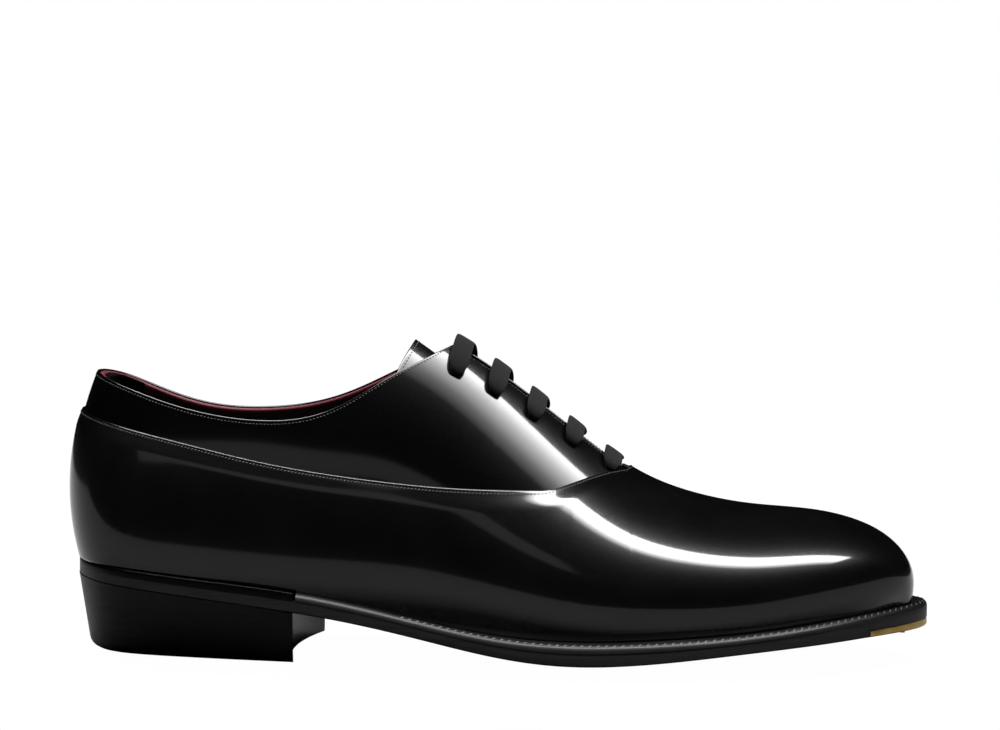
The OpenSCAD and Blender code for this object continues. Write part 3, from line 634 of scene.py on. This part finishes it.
def cork(name):
    m = Nodes(name)
    m.color(m.cells(500, "F1"), (0.1, (0.2, 0.11, 0.05)), (0.7, (0.45, 0.3, 0.16)))
    m.roughness(m.noise(300, 3), 0.8, 0.95)
    m.bump((m.cells(500, "F1"), 0.0003))
    return m.mat


PATENT = patent("patent_leather")
WINE = smooth_leather("wine_lining", (0.07, 0.004, 0.009), (0.13, 0.01, 0.018))
# The quarters' lining: its wall is painted dark as shade below a brighter, lit-looking top edge.
LINING_PAINTED_SHADE = lining_painted_shade("lining_edge")
BLACK_LINING = smooth_leather("black_lining", (0.006, 0.006, 0.006), (0.014, 0.013, 0.013), (0.38, 0.5))
TAN = smooth_leather("tan_leather", (0.36, 0.22, 0.11), (0.5, 0.34, 0.19), (0.6, 0.8))
EDGE = edge_leather("sole_edge", (0.002, 0.002, 0.002), (0.005, 0.005, 0.005), (0.36, 0.5))
HEEL = edge_leather("heel_edge", (0.002, 0.002, 0.002), (0.005, 0.005, 0.005), (0.36, 0.5))
WELT = edge_leather("welt_leather", (0.0012, 0.0012, 0.0012), (0.0035, 0.0035, 0.0035), (0.4, 0.55))
LACE = woven("lace_cloth")
THREAD = thread("black_thread", (0.006, 0.006, 0.0065), (0.02, 0.02, 0.021))
WELT_THREAD = thread("welt_thread", (0.012, 0.012, 0.0125), (0.035, 0.035, 0.036))
BRASS = brass("brass")
STEEL = steel("steel")
CORK = cork("cork")

# ---------------------------------------------------------------- the upper


def station_list(start, end, fine_from, fine_to, coarse, fine):
    """Stations at a coarse pitch, with a fine stretch where the topline turns into the facing."""
    a = np.arange(start, fine_from, coarse)
    b = np.arange(fine_from, fine_to, fine)
    c = np.arange(fine_to, end + 1e-6, coarse)
    return np.unique(np.round(np.concatenate([a, b, c]), 5))


def both_sides(t):
    return np.concatenate([-t[::-1], t[t > 1e-9]])


def made(piece, slot_name, *nodes, body="shoe"):
    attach(piece, body)
    if nodes:
        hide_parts(*nodes)


def make_golosh():
    back, near_throat = np.linspace(0, 9.1, 92), THROAT - np.linspace(1, 0, 40) ** 2 * 0.9
    vamp, toe = np.linspace(THROAT, 15, 71), 15 + np.linspace(0, TOE - 15, 26)
    t = both_sides(np.unique(np.concatenate([back, near_throat, vamp, toe])))
    high = seam_v(t)
    fade = ease((THROAT - np.abs(t)) / 0.05)
    sewn = int(np.sum(t >= THROAT - 1e-9))
    piece = leather_sheet("golosh", t, 0 * t, high, 66, 0, LEATHER, PATENT, sewn, fade, SKIVE)
    made(weld(piece), "patent_leather", "golosh")


def make_quarters():
    t = station_list(0, 10.2, 5.6, 7.8, 0.1, 0.03)
    for side, name in ((-1, "quarter_lateral"), (1, "quarter_medial")):
        tau = -np.maximum(t, 0.003)[::-1] if side < 0 else np.maximum(t, 0.003)
        piece = leather_sheet(name, tau, quarter_low(tau), edge_v(tau), 48, QUARTER_IN, QUARTER, PATENT)
        made(piece, "patent_leather", name)


def make_linings():
    t = both_sides(station_list(0, 9.7, 5.6, 7.6, 0.1, 0.04))
    high = edge_v(t) - 0.35 / rib_length(t)
    fill = 0.95         # the lining is drawn thicker outwards, so that it meets the quarter along the edge
    piece = leather_sheet("quarter_lining", t, 0 * t, high, 50, LINING_IN - fill, LINING + fill, LINING_PAINTED_SHADE)
    made(piece, "wine_lining", "quarter_lining")
    t = both_sides(np.linspace(0, 1.9, 40))
    high = edge_v(t) - 0.2 / rib_length(t)
    piece = leather_sheet("heel_grip", t, 0.25 + 0 * t, high, 40, LINING_OUT + 0.2, 1.1, BLACK_LINING)
    made(piece, "black_lining", "heel_grip")


TONGUE_TIP = np.array([-12.6, 0, 8.9])      # from the ridge at station 7 to the tip of the tongue


def tongue_rows(t, depth, across=18, passes=28):
    """Rows across the tongue, smoothed so that it bridges the ridge in a soft arch."""
    half_width = 26.4 - 1.9 * (t - 6.3)

    def column(side, share):
        return skin(side * t, side_v(side * t, half_width * share)[:, None], depth)[0][:, 0]

    shares = np.linspace(1, 0, across + 1)
    cols = [column(-1, share) for share in shares[:-1]]
    cols.append(skin(t, np.ones((len(t), 1)), depth)[0][:, 0])
    cols += [column(1, share) for share in shares[-2::-1]]
    grid = np.stack(cols, 1)
    for _ in range(passes):
        grid[:, 1:-1] = (grid[:, :-2] + 2 * grid[:, 1:-1] + grid[:, 2:]) / 4
    return grid


def tongue_face(depth, beyond=26, under=60):
    """Above station 7 the tongue runs on straight, and its end is cut square with round corners."""
    rows = tongue_rows(np.linspace(7, 10.3, under), depth)
    drop = (rows[0, rows.shape[1] // 2, 2] - rows[0, :, 2]) / np.linalg.norm(TONGUE_TIP)
    reach = (1 + 0.52 * drop * (1 - drop * drop / 9))[:, None] * TONGUE_TIP
    upper = rows[:1] + np.linspace(1, 0, beyond + 1)[:-1, None, None] * reach[None]
    return np.concatenate([upper, rows])


def make_tongue():
    piece = sheet_piece("tongue", tongue_face(TONGUE_IN), tongue_face(TONGUE_IN + LEATHER), PATENT)
    made(piece, "patent_leather", "tongue", body="tongue")
    a, b = TONGUE_IN + LEATHER + 0.05, TONGUE_IN + LEATHER + 0.1 + LINING
    piece = sheet_piece("tongue_lining", tongue_face(a), tongue_face(b), WINE)
    made(piece, "wine_lining", "tongue_lining", body="tongue")


make_golosh()
make_quarters()
make_linings()
make_tongue()

# ---------------------------------------------------------------- the lace

EYELET_PAIRS, EYELET_X0, EYELET_PITCH = 5, 137.7, 13.35
LANE = 5.4                              # from the row of eyelets to each hidden run
HOLE_WIDTH, RUN_WIDTH = 2.4, 4.0        # the lace's width in a hole and on a hidden run
LACE_WIDTH, LACE_THICK = 7.3, 1.0


def eyelet_y(k):
    """From the middle to an eyelet; pair 0 is the uppermost."""
    return 17 - 1.1 * k


def eyelet_stations():
    k = np.arange(EYELET_PAIRS)
    want = EYELET_X0 + EYELET_PITCH * k

    def over(t):
        return skin(-t, side_v(-t, eyelet_y(k))[:, None])[0][:, 0, 0] - want

    return solve(over, 5.5 + 0 * want, 10.4 + 0 * want)


EYELETS = eyelet_stations()


def lacing(side, k, y, depth):
    """A point at eyelet pair k, which may fall between two pairs, y from the middle."""
    i = max(0, min(int(math.floor(k)), EYELET_PAIRS - 2))
    t = EYELETS[i] + (EYELETS[i + 1] - EYELETS[i]) * (k - i)
    v = side_v([side * t], y) if y > 0 else np.ones(1)
    return skin([side * t], v[:, None], depth)[0][0, 0]


def inside(side, runs):
    """A hidden run behind the eyelets; each run entry is (pair, distance from the row of eyelets)."""
    return [(side, k, eyelet_y(k) + y, LACE_IN, RUN_WIDTH) for k, y in runs]


def crossing(side, k):
    """Up through one eyelet, over the ridge, and down through the one opposite."""
    e = eyelet_y(k)
    half = [
        (e, LACE_IN - 0.3, HOLE_WIDTH), (e, 3.0, HOLE_WIDTH), (e + 0.3, 1.5, 3.0), (e + 0.2, 0.5, 4.0),
        (e - 0.5, -0.3, 5.0), (e - 1.6, -0.75, 6.2), (e - 3.3, -1.0, 7.0), (e * 0.62, -1.1, LACE_WIDTH),
        (e * 0.33, -1.15, LACE_WIDTH),
    ]
    up, down = [(side, k, *h) for h in half], [(-side, k, *h) for h in half[::-1]]
    return [*up, (side, k, 0, -1.1, LACE_WIDTH), *down]


# (side, pair, distance from the middle, depth, width) from one aglet to the other
LACE_ROUTE = [
    *inside(-1, [(1.6, -LANE), (1.1, -LANE), (0.6, -LANE), (0.25, -3.2)]),
    *crossing(-1, 0), *inside(1, [(0.25, -3.2), (0.7, -LANE), (1.3, -LANE), (1.75, -3.2)]),
    *crossing(1, 2), *inside(-1, [(2.25, -3.2), (2.7, -LANE), (3.3, -LANE), (3.75, -3.2)]),
    *crossing(-1, 4), *inside(1, [(3.75, 3.2), (3.6, LANE), (3.4, LANE), (3.25, 3.2)]),
    *crossing(1, 3), *inside(-1, [(2.75, 3.2), (2.4, LANE), (1.6, LANE), (1.25, 3.2)]),
    *crossing(-1, 1), *inside(1, [(1.25, 3.2), (1.6, LANE), (2, LANE), (2.4, LANE)]),
]


def make_lace():
    def along_route(point):
        return np.array([point(*r[:4]) for r in LACE_ROUTE])

    points = along_route(lacing)
    ahead = unit(along_route(lambda s, k, y, d: lacing(s, k + 0.2, y, d) - lacing(s, k - 0.2, y, d)))
    outward = unit(along_route(lambda s, k, y, d: lacing(s, k, y, -1) - lacing(s, k, y, 1)))
    run = unit(np.vstack([points[1] - points[0], points[2:] - points[:-2], points[-1] - points[-2]]))
    crossways = np.abs((run * ahead).sum(1)) < 0.72
    lying = unit(outward - (outward * run).sum(1)[:, None] * run)
    face = np.where(crossways[:, None], unit(np.cross(ahead, run)), lying)
    widths = np.array([r[4] for r in LACE_ROUTE])
    fine = np.arange(0, len(points) - 1 + 1e-6, 1 / 6)
    p = spline(soft(points), fine)
    w = np.interp(fine, np.arange(len(points)), widths)
    f = np.stack([np.interp(fine, np.arange(len(points)), face[:, k]) for k in range(3)], 1)
    d = unit(np.gradient(p, axis=0))
    f = unit(f - (f * d).sum(1)[:, None] * d)
    side = np.cross(d, f)
    turns = np.linspace(0, 2 * np.pi, 24, endpoint=False)
    flat = np.sign(np.cos(turns)) * np.abs(np.cos(turns)) ** 0.55
    high = np.sign(np.sin(turns)) * np.abs(np.sin(turns)) ** 0.8
    sections = (
        p[:, None]
        + side[:, None] * (w[:, None, None] / 2 * flat[None, :, None])
        + f[:, None] * (LACE_THICK / 2 * high[None, :, None])
    )
    length = np.concatenate([[0], np.cumsum(np.linalg.norm(np.diff(p, axis=0), axis=1))])
    u = np.broadcast_to(length[:, None] * 0.55, sections.shape[:2])
    v = np.broadcast_to(flat[None, :] * 3.2, sections.shape[:2])
    piece = bar_piece("lace", sections, LACE, np.stack([u, v], -1).reshape(-1, 2))
    made(piece, "lace_cloth", "lace")


make_lace()

# ---------------------------------------------------------------- the bottom


def outline(u, inset=0.0):
    a, b = spline_ring(SOLE_C, u), spline_ring(SOLE_C, np.asarray(u) + 0.02)
    d = unit(b - a)
    return a + np.stack([-d[..., 1], d[..., 0]], -1) * np.reshape(inset, (-1, 1))


BREAST_U = 4.42         # station of the heel's front on the outline
PLATE_U = 12.9          # station of the toe plate's rear edge
PLATE_H = 2.0
SET_BACK = 0.15         # the trimmed edges lie this far inside the outline


def welt_inset(x):
    """How far the welt reaches in from the sole's edge."""
    return 6.6 + 3.6 * ease((x - 95) / 70)


def edge_strip(us, shoulder, wide):
    """Strip round the sole's edge; its top slopes off in a rounded shoulder."""
    inner = welt_inset(outline(us)[:, 0]) - SET_BACK
    turns = np.radians(np.arange(0, 91, 15))
    # (distance in from the edge, drop from the top); no drop marks the strip's underside
    shoulder_rows = [(wide * (1 - np.cos(a)), shoulder * (1 - np.sin(a))) for a in turns]
    flat_rows = [(wide + 0.8, 0.0), (wide + 1.8, 0.0), (inner, 0.0)]
    points = []
    for inset, drop in [(0.0, None), *shoulder_rows, *flat_rows, (inner, None)]:
        o = outline(us, SET_BACK + inset)
        x = o[:, 0]
        z = edge_z(x) + outsole_t(x) + 0.03 if drop is None else welt_top(x) - drop
        points.append(np.column_stack([o, z]))
    return np.stack(points, 1)


def make_welt():
    us = np.linspace(BREAST_U + 0.03, SOLE_N - BREAST_U - 0.03, 420)
    made(sharpen(bar_piece("welt", edge_strip(us, 2.4, 2.2), WELT), 60), "edge_leather", "welt")
    us = np.linspace(SOLE_N - BREAST_U, SOLE_N + BREAST_U, 160)
    made(sharpen(bar_piece("heel_rand", edge_strip(us, 1.4, 1.0), WELT), 60), "edge_leather", "heel_rand")


def flat(z):
    return lambda x: z + 0 * x


def sole_rows(u, lift, inset, across=28):
    """Rows across the sole; they bow forwards at the plate's rear edge."""
    a, b = outline(u, inset), outline(SOLE_N - u, inset)
    bow = 8 * ease((u - 11.5) / (PLATE_U - 11.5)) * ease((14.9 - u) / 1.6)
    w = np.linspace(-1, 1, across + 1)
    p = a[:, None] + (b - a)[:, None] * (w[None, :, None] + 1) / 2
    x = p[..., 0]
    dome = 1 - w[None, :] ** 2
    return np.stack([x + bow[:, None] * dome, p[..., 1], edge_z(x) - camber(x) * dome + lift(x)], -1)


def rounded_slab(name, us, bottom, top, material, corner, top_inset):
    """A slab of the sole with a rounded lower edge."""
    turns = np.radians([0, 30, 60, 90])
    outer = sole_rows(us, bottom, corner)
    inner = sole_rows(us, top, top_inset)
    lips = [(SET_BACK + corner * (1 - np.sin(a)), corner * (1 - np.cos(a))) for a in turns]
    rows = [sole_rows(us, lambda x, c=c: bottom(x) + c, i)[:, [0, -1]] for i, c in lips[1:]]
    left = np.stack([r[:, 0] for r in rows[::-1]], 1)
    right = np.stack([r[:, 1] for r in rows], 1)
    full_bottom = np.concatenate([left, outer, right], 1)
    pad_left = np.repeat(inner[:, :1], left.shape[1], 1)
    pad_right = np.repeat(inner[:, -1:], right.shape[1], 1)
    for k in range(left.shape[1]):
        share = (k + 1) / (left.shape[1] + 1)
        pad_left[:, k] = inner[:, 0] + (inner[:, 1] - inner[:, 0]) * 0.4 * share
        pad_right[:, -1 - k] = inner[:, -1] + (inner[:, -2] - inner[:, -1]) * 0.4 * share
    full_top = np.concatenate([pad_left, inner, pad_right], 1)
    full_top[:, left.shape[1]] = inner[:, 0] + (inner[:, 1] - inner[:, 0]) * 0.5
    full_top[:, -1 - right.shape[1]] = inner[:, -1] + (inner[:, -2] - inner[:, -1]) * 0.5
    return sharpen(sheet_piece(name, full_bottom, full_top, material), 50)


def make_outsole():
    heel_end = [0.06, 0.12, 0.2, 0.3, 0.45, 0.6, 0.8]
    back = np.concatenate([heel_end, np.linspace(1, 12.6, 117), [12.75, PLATE_U - 0.01]])
    front = np.concatenate([[PLATE_U], np.linspace(13, 14.6, 17), [14.7, 14.78, 14.85, 14.9, 14.94]])
    every = np.concatenate([back, front])
    recess = np.where(every < PLATE_U - 0.005, 0.0, PLATE_H + 0.05)[:, None]
    piece = rounded_slab("outsole", every, lambda x: recess + 0 * x, outsole_t, EDGE, 0.5, SET_BACK)
    made(piece, "edge_leather", "outsole")
    plate = front + 0.015 * (front == PLATE_U)
    piece = rounded_slab("toe_plate", plate, flat(0.0), flat(PLATE_H), BRASS, 0.3, 0.3)
    made(piece, "brass", "toe_plate")


HEEL_LENGTH, HEEL_TAPER, BREAST_HOLLOW = 84, 4.0, 4.8
TOP_PIECE_H, LIFT_H = 6.0, 5.0
HEEL_US = np.concatenate([np.linspace(0.03, 1.2, 30), np.linspace(1.25, BREAST_U, 70)])


def heel_point(u, w, z, inset):
    """Points on the heel's sides and between them; the heel narrows downwards, most at the back."""

    def edge(k):
        x = outline(k)[:, 0]
        q = np.maximum(0, 1 - np.maximum(0, x / HEEL_LENGTH))
        taper = HEEL_TAPER * (1 - (1 - q) ** 2) * (1 - z(x) / edge_z(x))
        return outline(k, taper + inset * (0.25 + 0.75 * q))

    a, b, w = edge(u), edge(SOLE_N - u), np.reshape(w, (-1, 1))
    p = a * (1 - w) / 2 + b * (1 + w) / 2
    x = p[:, 0] - BREAST_HOLLOW * (1 - w[:, 0] ** 2) * ease((u - 1.5) / (BREAST_U - 1.5))
    return np.column_stack([x, p[:, 1], z(x)])


def heel_grid(levels, mid=14):
    """A face of the heel; levels are the (height, inset) pairs of its rounded border, side first."""
    m, n = len(levels) - 1, mid + len(levels) - 1
    us = np.concatenate([np.linspace(0.01, 0.025, m), HEEL_US]) if m else HEEL_US
    grid = np.zeros((len(us), 2 * n + 1, 3))
    for j in range(2 * n + 1):
        deep = np.minimum(np.minimum(np.arange(len(us)), m), min(j, 2 * n - j))
        w = np.clip((j - n) / (n - np.minimum(np.arange(len(us)), m)), -1, 1)
        for k, (z, inset) in enumerate(levels):
            rows = deep == k
            if rows.any():
                grid[rows, j] = heel_point(us[rows], w[rows], z, inset)
    return grid


def heel_layer(name, low, high, material, slot_name, bottom=(), corner=0.02):
    """One layer of the heel, its edges hardly eased, so that the waxed joints barely show."""
    lip = bottom or [(lambda x: low(x) + corner, 0.0)]
    lower = heel_grid([*lip, (low, lip[-1][1] + (0.6 if bottom else 4 * corner))])
    upper = heel_grid([(lambda x: high(x) - corner, 0.0)] * len(lip) + [(high, 4 * corner)])
    made(sharpen(sheet_piece(name, lower, upper, material), 22), slot_name, name)


def make_heel():
    first, second = TOP_PIECE_H + LIFT_H, TOP_PIECE_H + 2 * LIFT_H
    heel_layer("heel_wedge", flat(second), lambda x: edge_z(x) - camber(x) - 0.005, HEEL, "edge_leather")
    heel_layer("heel_lift_upper", flat(first), flat(second - 0.005), HEEL, "edge_leather")
    heel_layer("heel_lift_lower", flat(TOP_PIECE_H), flat(first - 0.005), HEEL, "edge_leather")
    turns = np.radians([0, 18, 36, 54, 72])
    lip = [(flat(3.2 * (1 - math.sin(a))), 2.6 * (1 - math.cos(a))) for a in turns]
    heel_layer("top_piece", flat(0.0), flat(TOP_PIECE_H - 0.005), HEEL, "rubber", lip)


make_welt()
make_outsole()
make_heel()

# ---------------------------------------------------------------- stitches


def stitch_row(name, path, normal, pitch, size, material, body="shoe", slant=0.0):
    """Separate stitches along a path: each is a rounded bar that dips into the leather at both ends.

    The size is a stitch's (length, width, height).
    """
    length, width, height = size
    steps = np.linalg.norm(np.diff(path, axis=0), axis=1)
    run = np.concatenate([[0], np.cumsum(steps)])
    count = max(1, int(run[-1] / pitch))
    where = (np.arange(count) + 0.5) * run[-1] / count
    p = np.stack([np.interp(where, run, path[:, k]) for k in range(3)], 1)
    n = unit(np.stack([np.interp(where, run, normal[:, k]) for k in range(3)], 1))
    tangent = np.gradient(path, run, axis=0)
    d = unit(np.stack([np.interp(where, run, tangent[:, k]) for k in range(3)], 1))
    d = unit(d - (d * n).sum(1)[:, None] * n)
    s = np.cross(n, d)
    d, s = d * math.cos(slant) + s * math.sin(slant), s * math.cos(slant) - d * math.sin(slant)
    rings, sides = 7, 8
    f = np.linspace(-1, 1, rings)
    a = np.linspace(0, 2 * np.pi, sides, endpoint=False)
    thick = np.sqrt(1 - (f * 0.93) ** 2)[:, None]
    along = np.repeat(f * length / 2, sides)
    across = (thick * np.cos(a)[None] * width / 2).ravel()
    up = (thick * np.sin(a)[None] * height / 2 - (f[:, None] ** 4) * height * 0.5).ravel()
    parts = [axis[:, None] * by[None, :, None] for axis, by in ((d, along), (s, across), (n, up))]
    points = p[:, None] + sum(parts)
    base = []
    for i in range(rings - 1):
        for k in range(sides):
            q, r = i * sides + k, i * sides + (k + 1) % sides
            base.append((q, r, r + sides, q + sides))
    base_caps = [tuple(reversed(range(sides))), tuple(range((rings - 1) * sides, rings * sides))]
    faces = []
    for c in range(count):
        o = c * rings * sides
        faces += [tuple(o + v for v in q) for q in base + base_caps]
    made(mesh_piece(name, points.reshape(-1, 3), faces, material), "lace_cloth", body=body)


def surface_path(tau, v, depth):
    p, n = skin(tau, v[:, None], np.reshape(depth, (-1, 1)))
    return p[:, 0], n[:, 0]


def upward(n):
    return np.where(n[:, 2:] < 0, -n, n)


def make_seam_stitches():
    near_throat = THROAT - np.linspace(1, 0, 60) ** 2
    t = both_sides(np.unique(np.concatenate([np.linspace(0, 9, 160), near_throat])))
    t = t[np.abs(t) < THROAT - 0.004]
    v = seam_v(t) - 1.35 / rib_length(t)
    p, n = surface_path(t, v, SKIVE * 0.95 * ease((THROAT - np.abs(t)) / 0.05) - 0.04)
    stitch_row("seam_stitches", p, n, 1.25, (1.15, 0.42, 0.34), THREAD, slant=0.5)


def make_topline_stitches():
    for side, name in ((-1, "outer"), (1, "inner")):
        t = station_list(0.05, 9.6, 5.6, 7.8, 0.05, 0.02) * side
        v = edge_v(t) - 1.7 / rib_length(t)
        p, n = surface_path(t, v, QUARTER_IN - 0.02)
        stitch_row("topline_stitches_" + name, p, n, 1.25, (1.0, 0.4, 0.32), THREAD)


def make_welt_stitches():
    us = np.linspace(BREAST_U + 1.2, SOLE_N - BREAST_U - 1.2, 800)
    o, inner = outline(us, 1.35), outline(us, 3.0)
    p = np.column_stack([o, welt_top(o[:, 0]) - 0.55])
    n = unit(np.column_stack([(o - inner) / 2.2, np.ones(len(o))]))
    stitch_row("welt_stitches", p, n, 2.8, (2.3, 0.8, 0.75), WELT_THREAD, slant=0.75)


def make_tongue_stitches():
    pitch, size = 1.5, (1.15, 0.4, 0.32)
    grid = tongue_face(TONGUE_IN - 0.04)[:-6]
    for name, edge, col in (("outer", 0, 1), ("inner", -1, -2)):
        path = grid[:, col] * 0.65 + grid[:, edge] * 0.35
        n = unit(np.cross(grid[:, col + 1] - grid[:, col - 1], np.gradient(grid[:, col], axis=0)))
        stitch_row("tongue_stitches_" + name, path, upward(n), pitch, size, THREAD, body="tongue")
    down = grid[1, 1:-1] - grid[0, 1:-1]
    path = grid[0, 1:-1] + unit(down) * 1.5
    n = unit(np.cross(np.gradient(path, axis=0), down))
    stitch_row("tongue_stitches_top", path, upward(n), pitch, size, THREAD, body="tongue")


make_seam_stitches()
make_topline_stitches()
make_welt_stitches()
make_tongue_stitches()


BAR_X, BAR_REACH, BAR_WIDE, BAR_HIGH = 196.4, 2.4, 1.6, 0.45      # place along X, and half sizes


def make_throat_bar():
    """A close bar of thread laid across the foot of the facings."""

    def beyond_bar(t):
        return skin(t, np.ones((len(t), 1)))[0][:, 0, 0] - BAR_X

    t = float(solve(beyond_bar, [9.0], [12.5])[0])
    across = []
    for y in np.linspace(-BAR_REACH, BAR_REACH, 15):
        side = -1.0 if y < 0 else 1.0
        v = np.ones(1) if abs(y) < 0.05 else side_v([side * t], abs(y))
        point, normal = skin([side * t], v[:, None], QUARTER_IN - BAR_HIGH)
        across.append((point[0, 0], normal[0, 0], 1 - (y / BAR_REACH) ** 6 * 0.6))
    turns = np.linspace(0, 2 * np.pi, 12, endpoint=False)
    sections = []
    for k, (point, normal, full) in enumerate(across):
        ahead = unit(across[min(k + 1, len(across) - 1)][0] - across[max(k - 1, 0)][0])
        side = np.cross(ahead, normal) * BAR_WIDE * full
        up = normal * BAR_HIGH * full
        sections.append([point + side * math.cos(a) + up * math.sin(a) for a in turns])
    made(bar_piece("throat_bar", np.array(sections), LACE), "lace_cloth", "throat_bar")


make_throat_bar()

# ---------------------------------------------------------------- CAD parts that stay

KEPT = {
    "vamp_lining": TAN, "facing_stays": TAN, "eyelets": BRASS, "aglets": LACE,
    "toe_puff": TAN, "heel_counter": TAN, "sock_lining": BLACK_LINING, "insole": TAN, "cork_filler": CORK,
    "shank": STEEL, "toe_plate_screws": BRASS, "heel_nails": BRASS,
}
for node, material in KEPT.items():
    mesh = frame["nodes"][node].data
    mesh.materials.clear()
    mesh.materials.append(material)

# ---------------------------------------------------------------- stage and light


def make_world():
    """White where the camera sees it, nearly black as a light and in what the polish reflects."""
    world = bpy.data.worlds.new("world")
    scene.world = world
    world.use_nodes = True
    nodes, links = world.node_tree.nodes, world.node_tree.links
    nodes.clear()
    out = nodes.new("ShaderNodeOutputWorld")
    mix = nodes.new("ShaderNodeMixShader")
    path = nodes.new("ShaderNodeLightPath")
    dark, pale = nodes.new("ShaderNodeBackground"), nodes.new("ShaderNodeBackground")
    dark.inputs["Color"].default_value = (0.5, 0.52, 0.55, 1)
    dark.inputs["Strength"].default_value = 0.006
    pale.inputs["Color"].default_value = (1, 1, 1, 1)
    pale.inputs["Strength"].default_value = 1.0
    links.new(path.outputs["Is Camera Ray"], mix.inputs["Fac"])
    links.new(dark.outputs[0], mix.inputs[1])
    links.new(pale.outputs[0], mix.inputs[2])
    links.new(mix.outputs[0], out.inputs[0])


def area(name, place, aim, size, power, spread=180.0):
    data = bpy.data.lights.new(name, "AREA")
    data.shape, data.size, data.size_y = "RECTANGLE", *size
    data.energy, data.spread = power, math.radians(spread)
    light = bpy.data.objects.new(name, data)
    scene.collection.objects.link(light)
    look_at(light, place, aim)
    light.visible_camera = False
    return light


def shade_light(light, *stops):
    """Let a light box fade across its width; each stop is (place, level)."""
    light.data.use_nodes = True
    tree = light.data.node_tree
    nodes, links = tree.nodes, tree.links
    place = nodes.new("ShaderNodeNewGeometry")
    split = nodes.new("ShaderNodeSeparateXYZ")
    ramp = nodes.new("ShaderNodeValToRGB")
    while len(ramp.color_ramp.elements) < len(stops):
        ramp.color_ramp.elements.new(0.5)
    for stop, (position, level) in zip(ramp.color_ramp.elements, stops):
        stop.position, stop.color = position, (level, level, level, 1)
    links.new(place.outputs["Parametric"], split.inputs[0])
    links.new(split.outputs["X"], ramp.inputs["Fac"])
    links.new(ramp.outputs["Color"], nodes["Emission"].inputs["Color"])


def make_floor():
    """A white floor that mostly glows to the camera, so that it shows only a faint shadow."""
    m = Nodes("floor")
    m.set(IOR=1.3, Specular_IOR_Level=0.0)
    m.color(m.noise(8, 2), (0.0, (0.88, 0.88, 0.88)), (1.0, (0.9, 0.9, 0.9)))
    m.roughness(m.noise(30, 2), 0.8, 0.9)
    path = m.tree.nodes.new("ShaderNodeLightPath")
    glow, mix = m.tree.nodes.new("ShaderNodeEmission"), m.tree.nodes.new("ShaderNodeMixShader")
    glow.inputs["Strength"].default_value = 1.05
    m.link(m.math("MULTIPLY", path.outputs["Is Camera Ray"], 0.94), mix.inputs["Fac"])
    m.link(m.bsdf.outputs[0], mix.inputs[1])
    m.link(glow.outputs[0], mix.inputs[2])
    m.link(mix.outputs[0], m.tree.nodes["Material Output"].inputs["Surface"])
    mesh = bpy.data.meshes.new("floor")
    half, near, far = 1.2, -0.128, 1.1
    corners = [(-half, near, 0), (half, near, 0), (half, far, 0), (-half, far, 0)]
    mesh.from_pydata(corners, [], [(0, 1, 2, 3)])
    mesh.materials.append(m.mat)
    floor = bpy.data.objects.new("floor", mesh)
    scene.collection.objects.link(floor)


def lit_only(light, *names):
    """Keep a light off everything but the pieces whose names start so."""
    group = bpy.data.collections.new(light.name + "_lit")
    for thing in scene.objects:
        if thing.type == "MESH" and any(thing.name.startswith(n) for n in names):
            group.objects.link(thing)
    light.light_linking.receiver_collection = group


make_world()
make_floor()
# A light box for the golosh and the sole's edge, and one for the quarters and the lacing
vamp_box = area("vamp_box", (0.092, -0.28, 0.52), (0.087, -0.28, 0.0), (0.2, 0.98), 24.0, 150)
shade_light(vamp_box, (0.0, 0.04), (0.15, 0.3), (0.42, 0.9), (1.0, 1.0))
quarter_box = area("quarter_box", (0.15, -0.1, 0.52), (0.1, -0.1, 0.0), (0.42, 0.9), 25.0, 150)
shade_light(quarter_box, (0.0, 0.02), (0.25, 0.14), (0.6, 0.5), (0.9, 1.0))
lit_only(vamp_box, "golosh", "seam", "welt", "outsole", "toe_plate")
lit_only(quarter_box, "quarter", "topline", "lace", "tongue", "aglets", "throat")
area("left_card", (-0.45, -1.15, 0.36), (-0.05, 0.0, 0.06), (0.7, 0.16), 0.22)
wash = area("floor_wash", (0.0, 0.68, 1.6), (0.0, 0.0, 0.0), (2.4, 0.35), 30.0)
wash.visible_glossy = False
scene.view_settings.view_transform = "Standard"
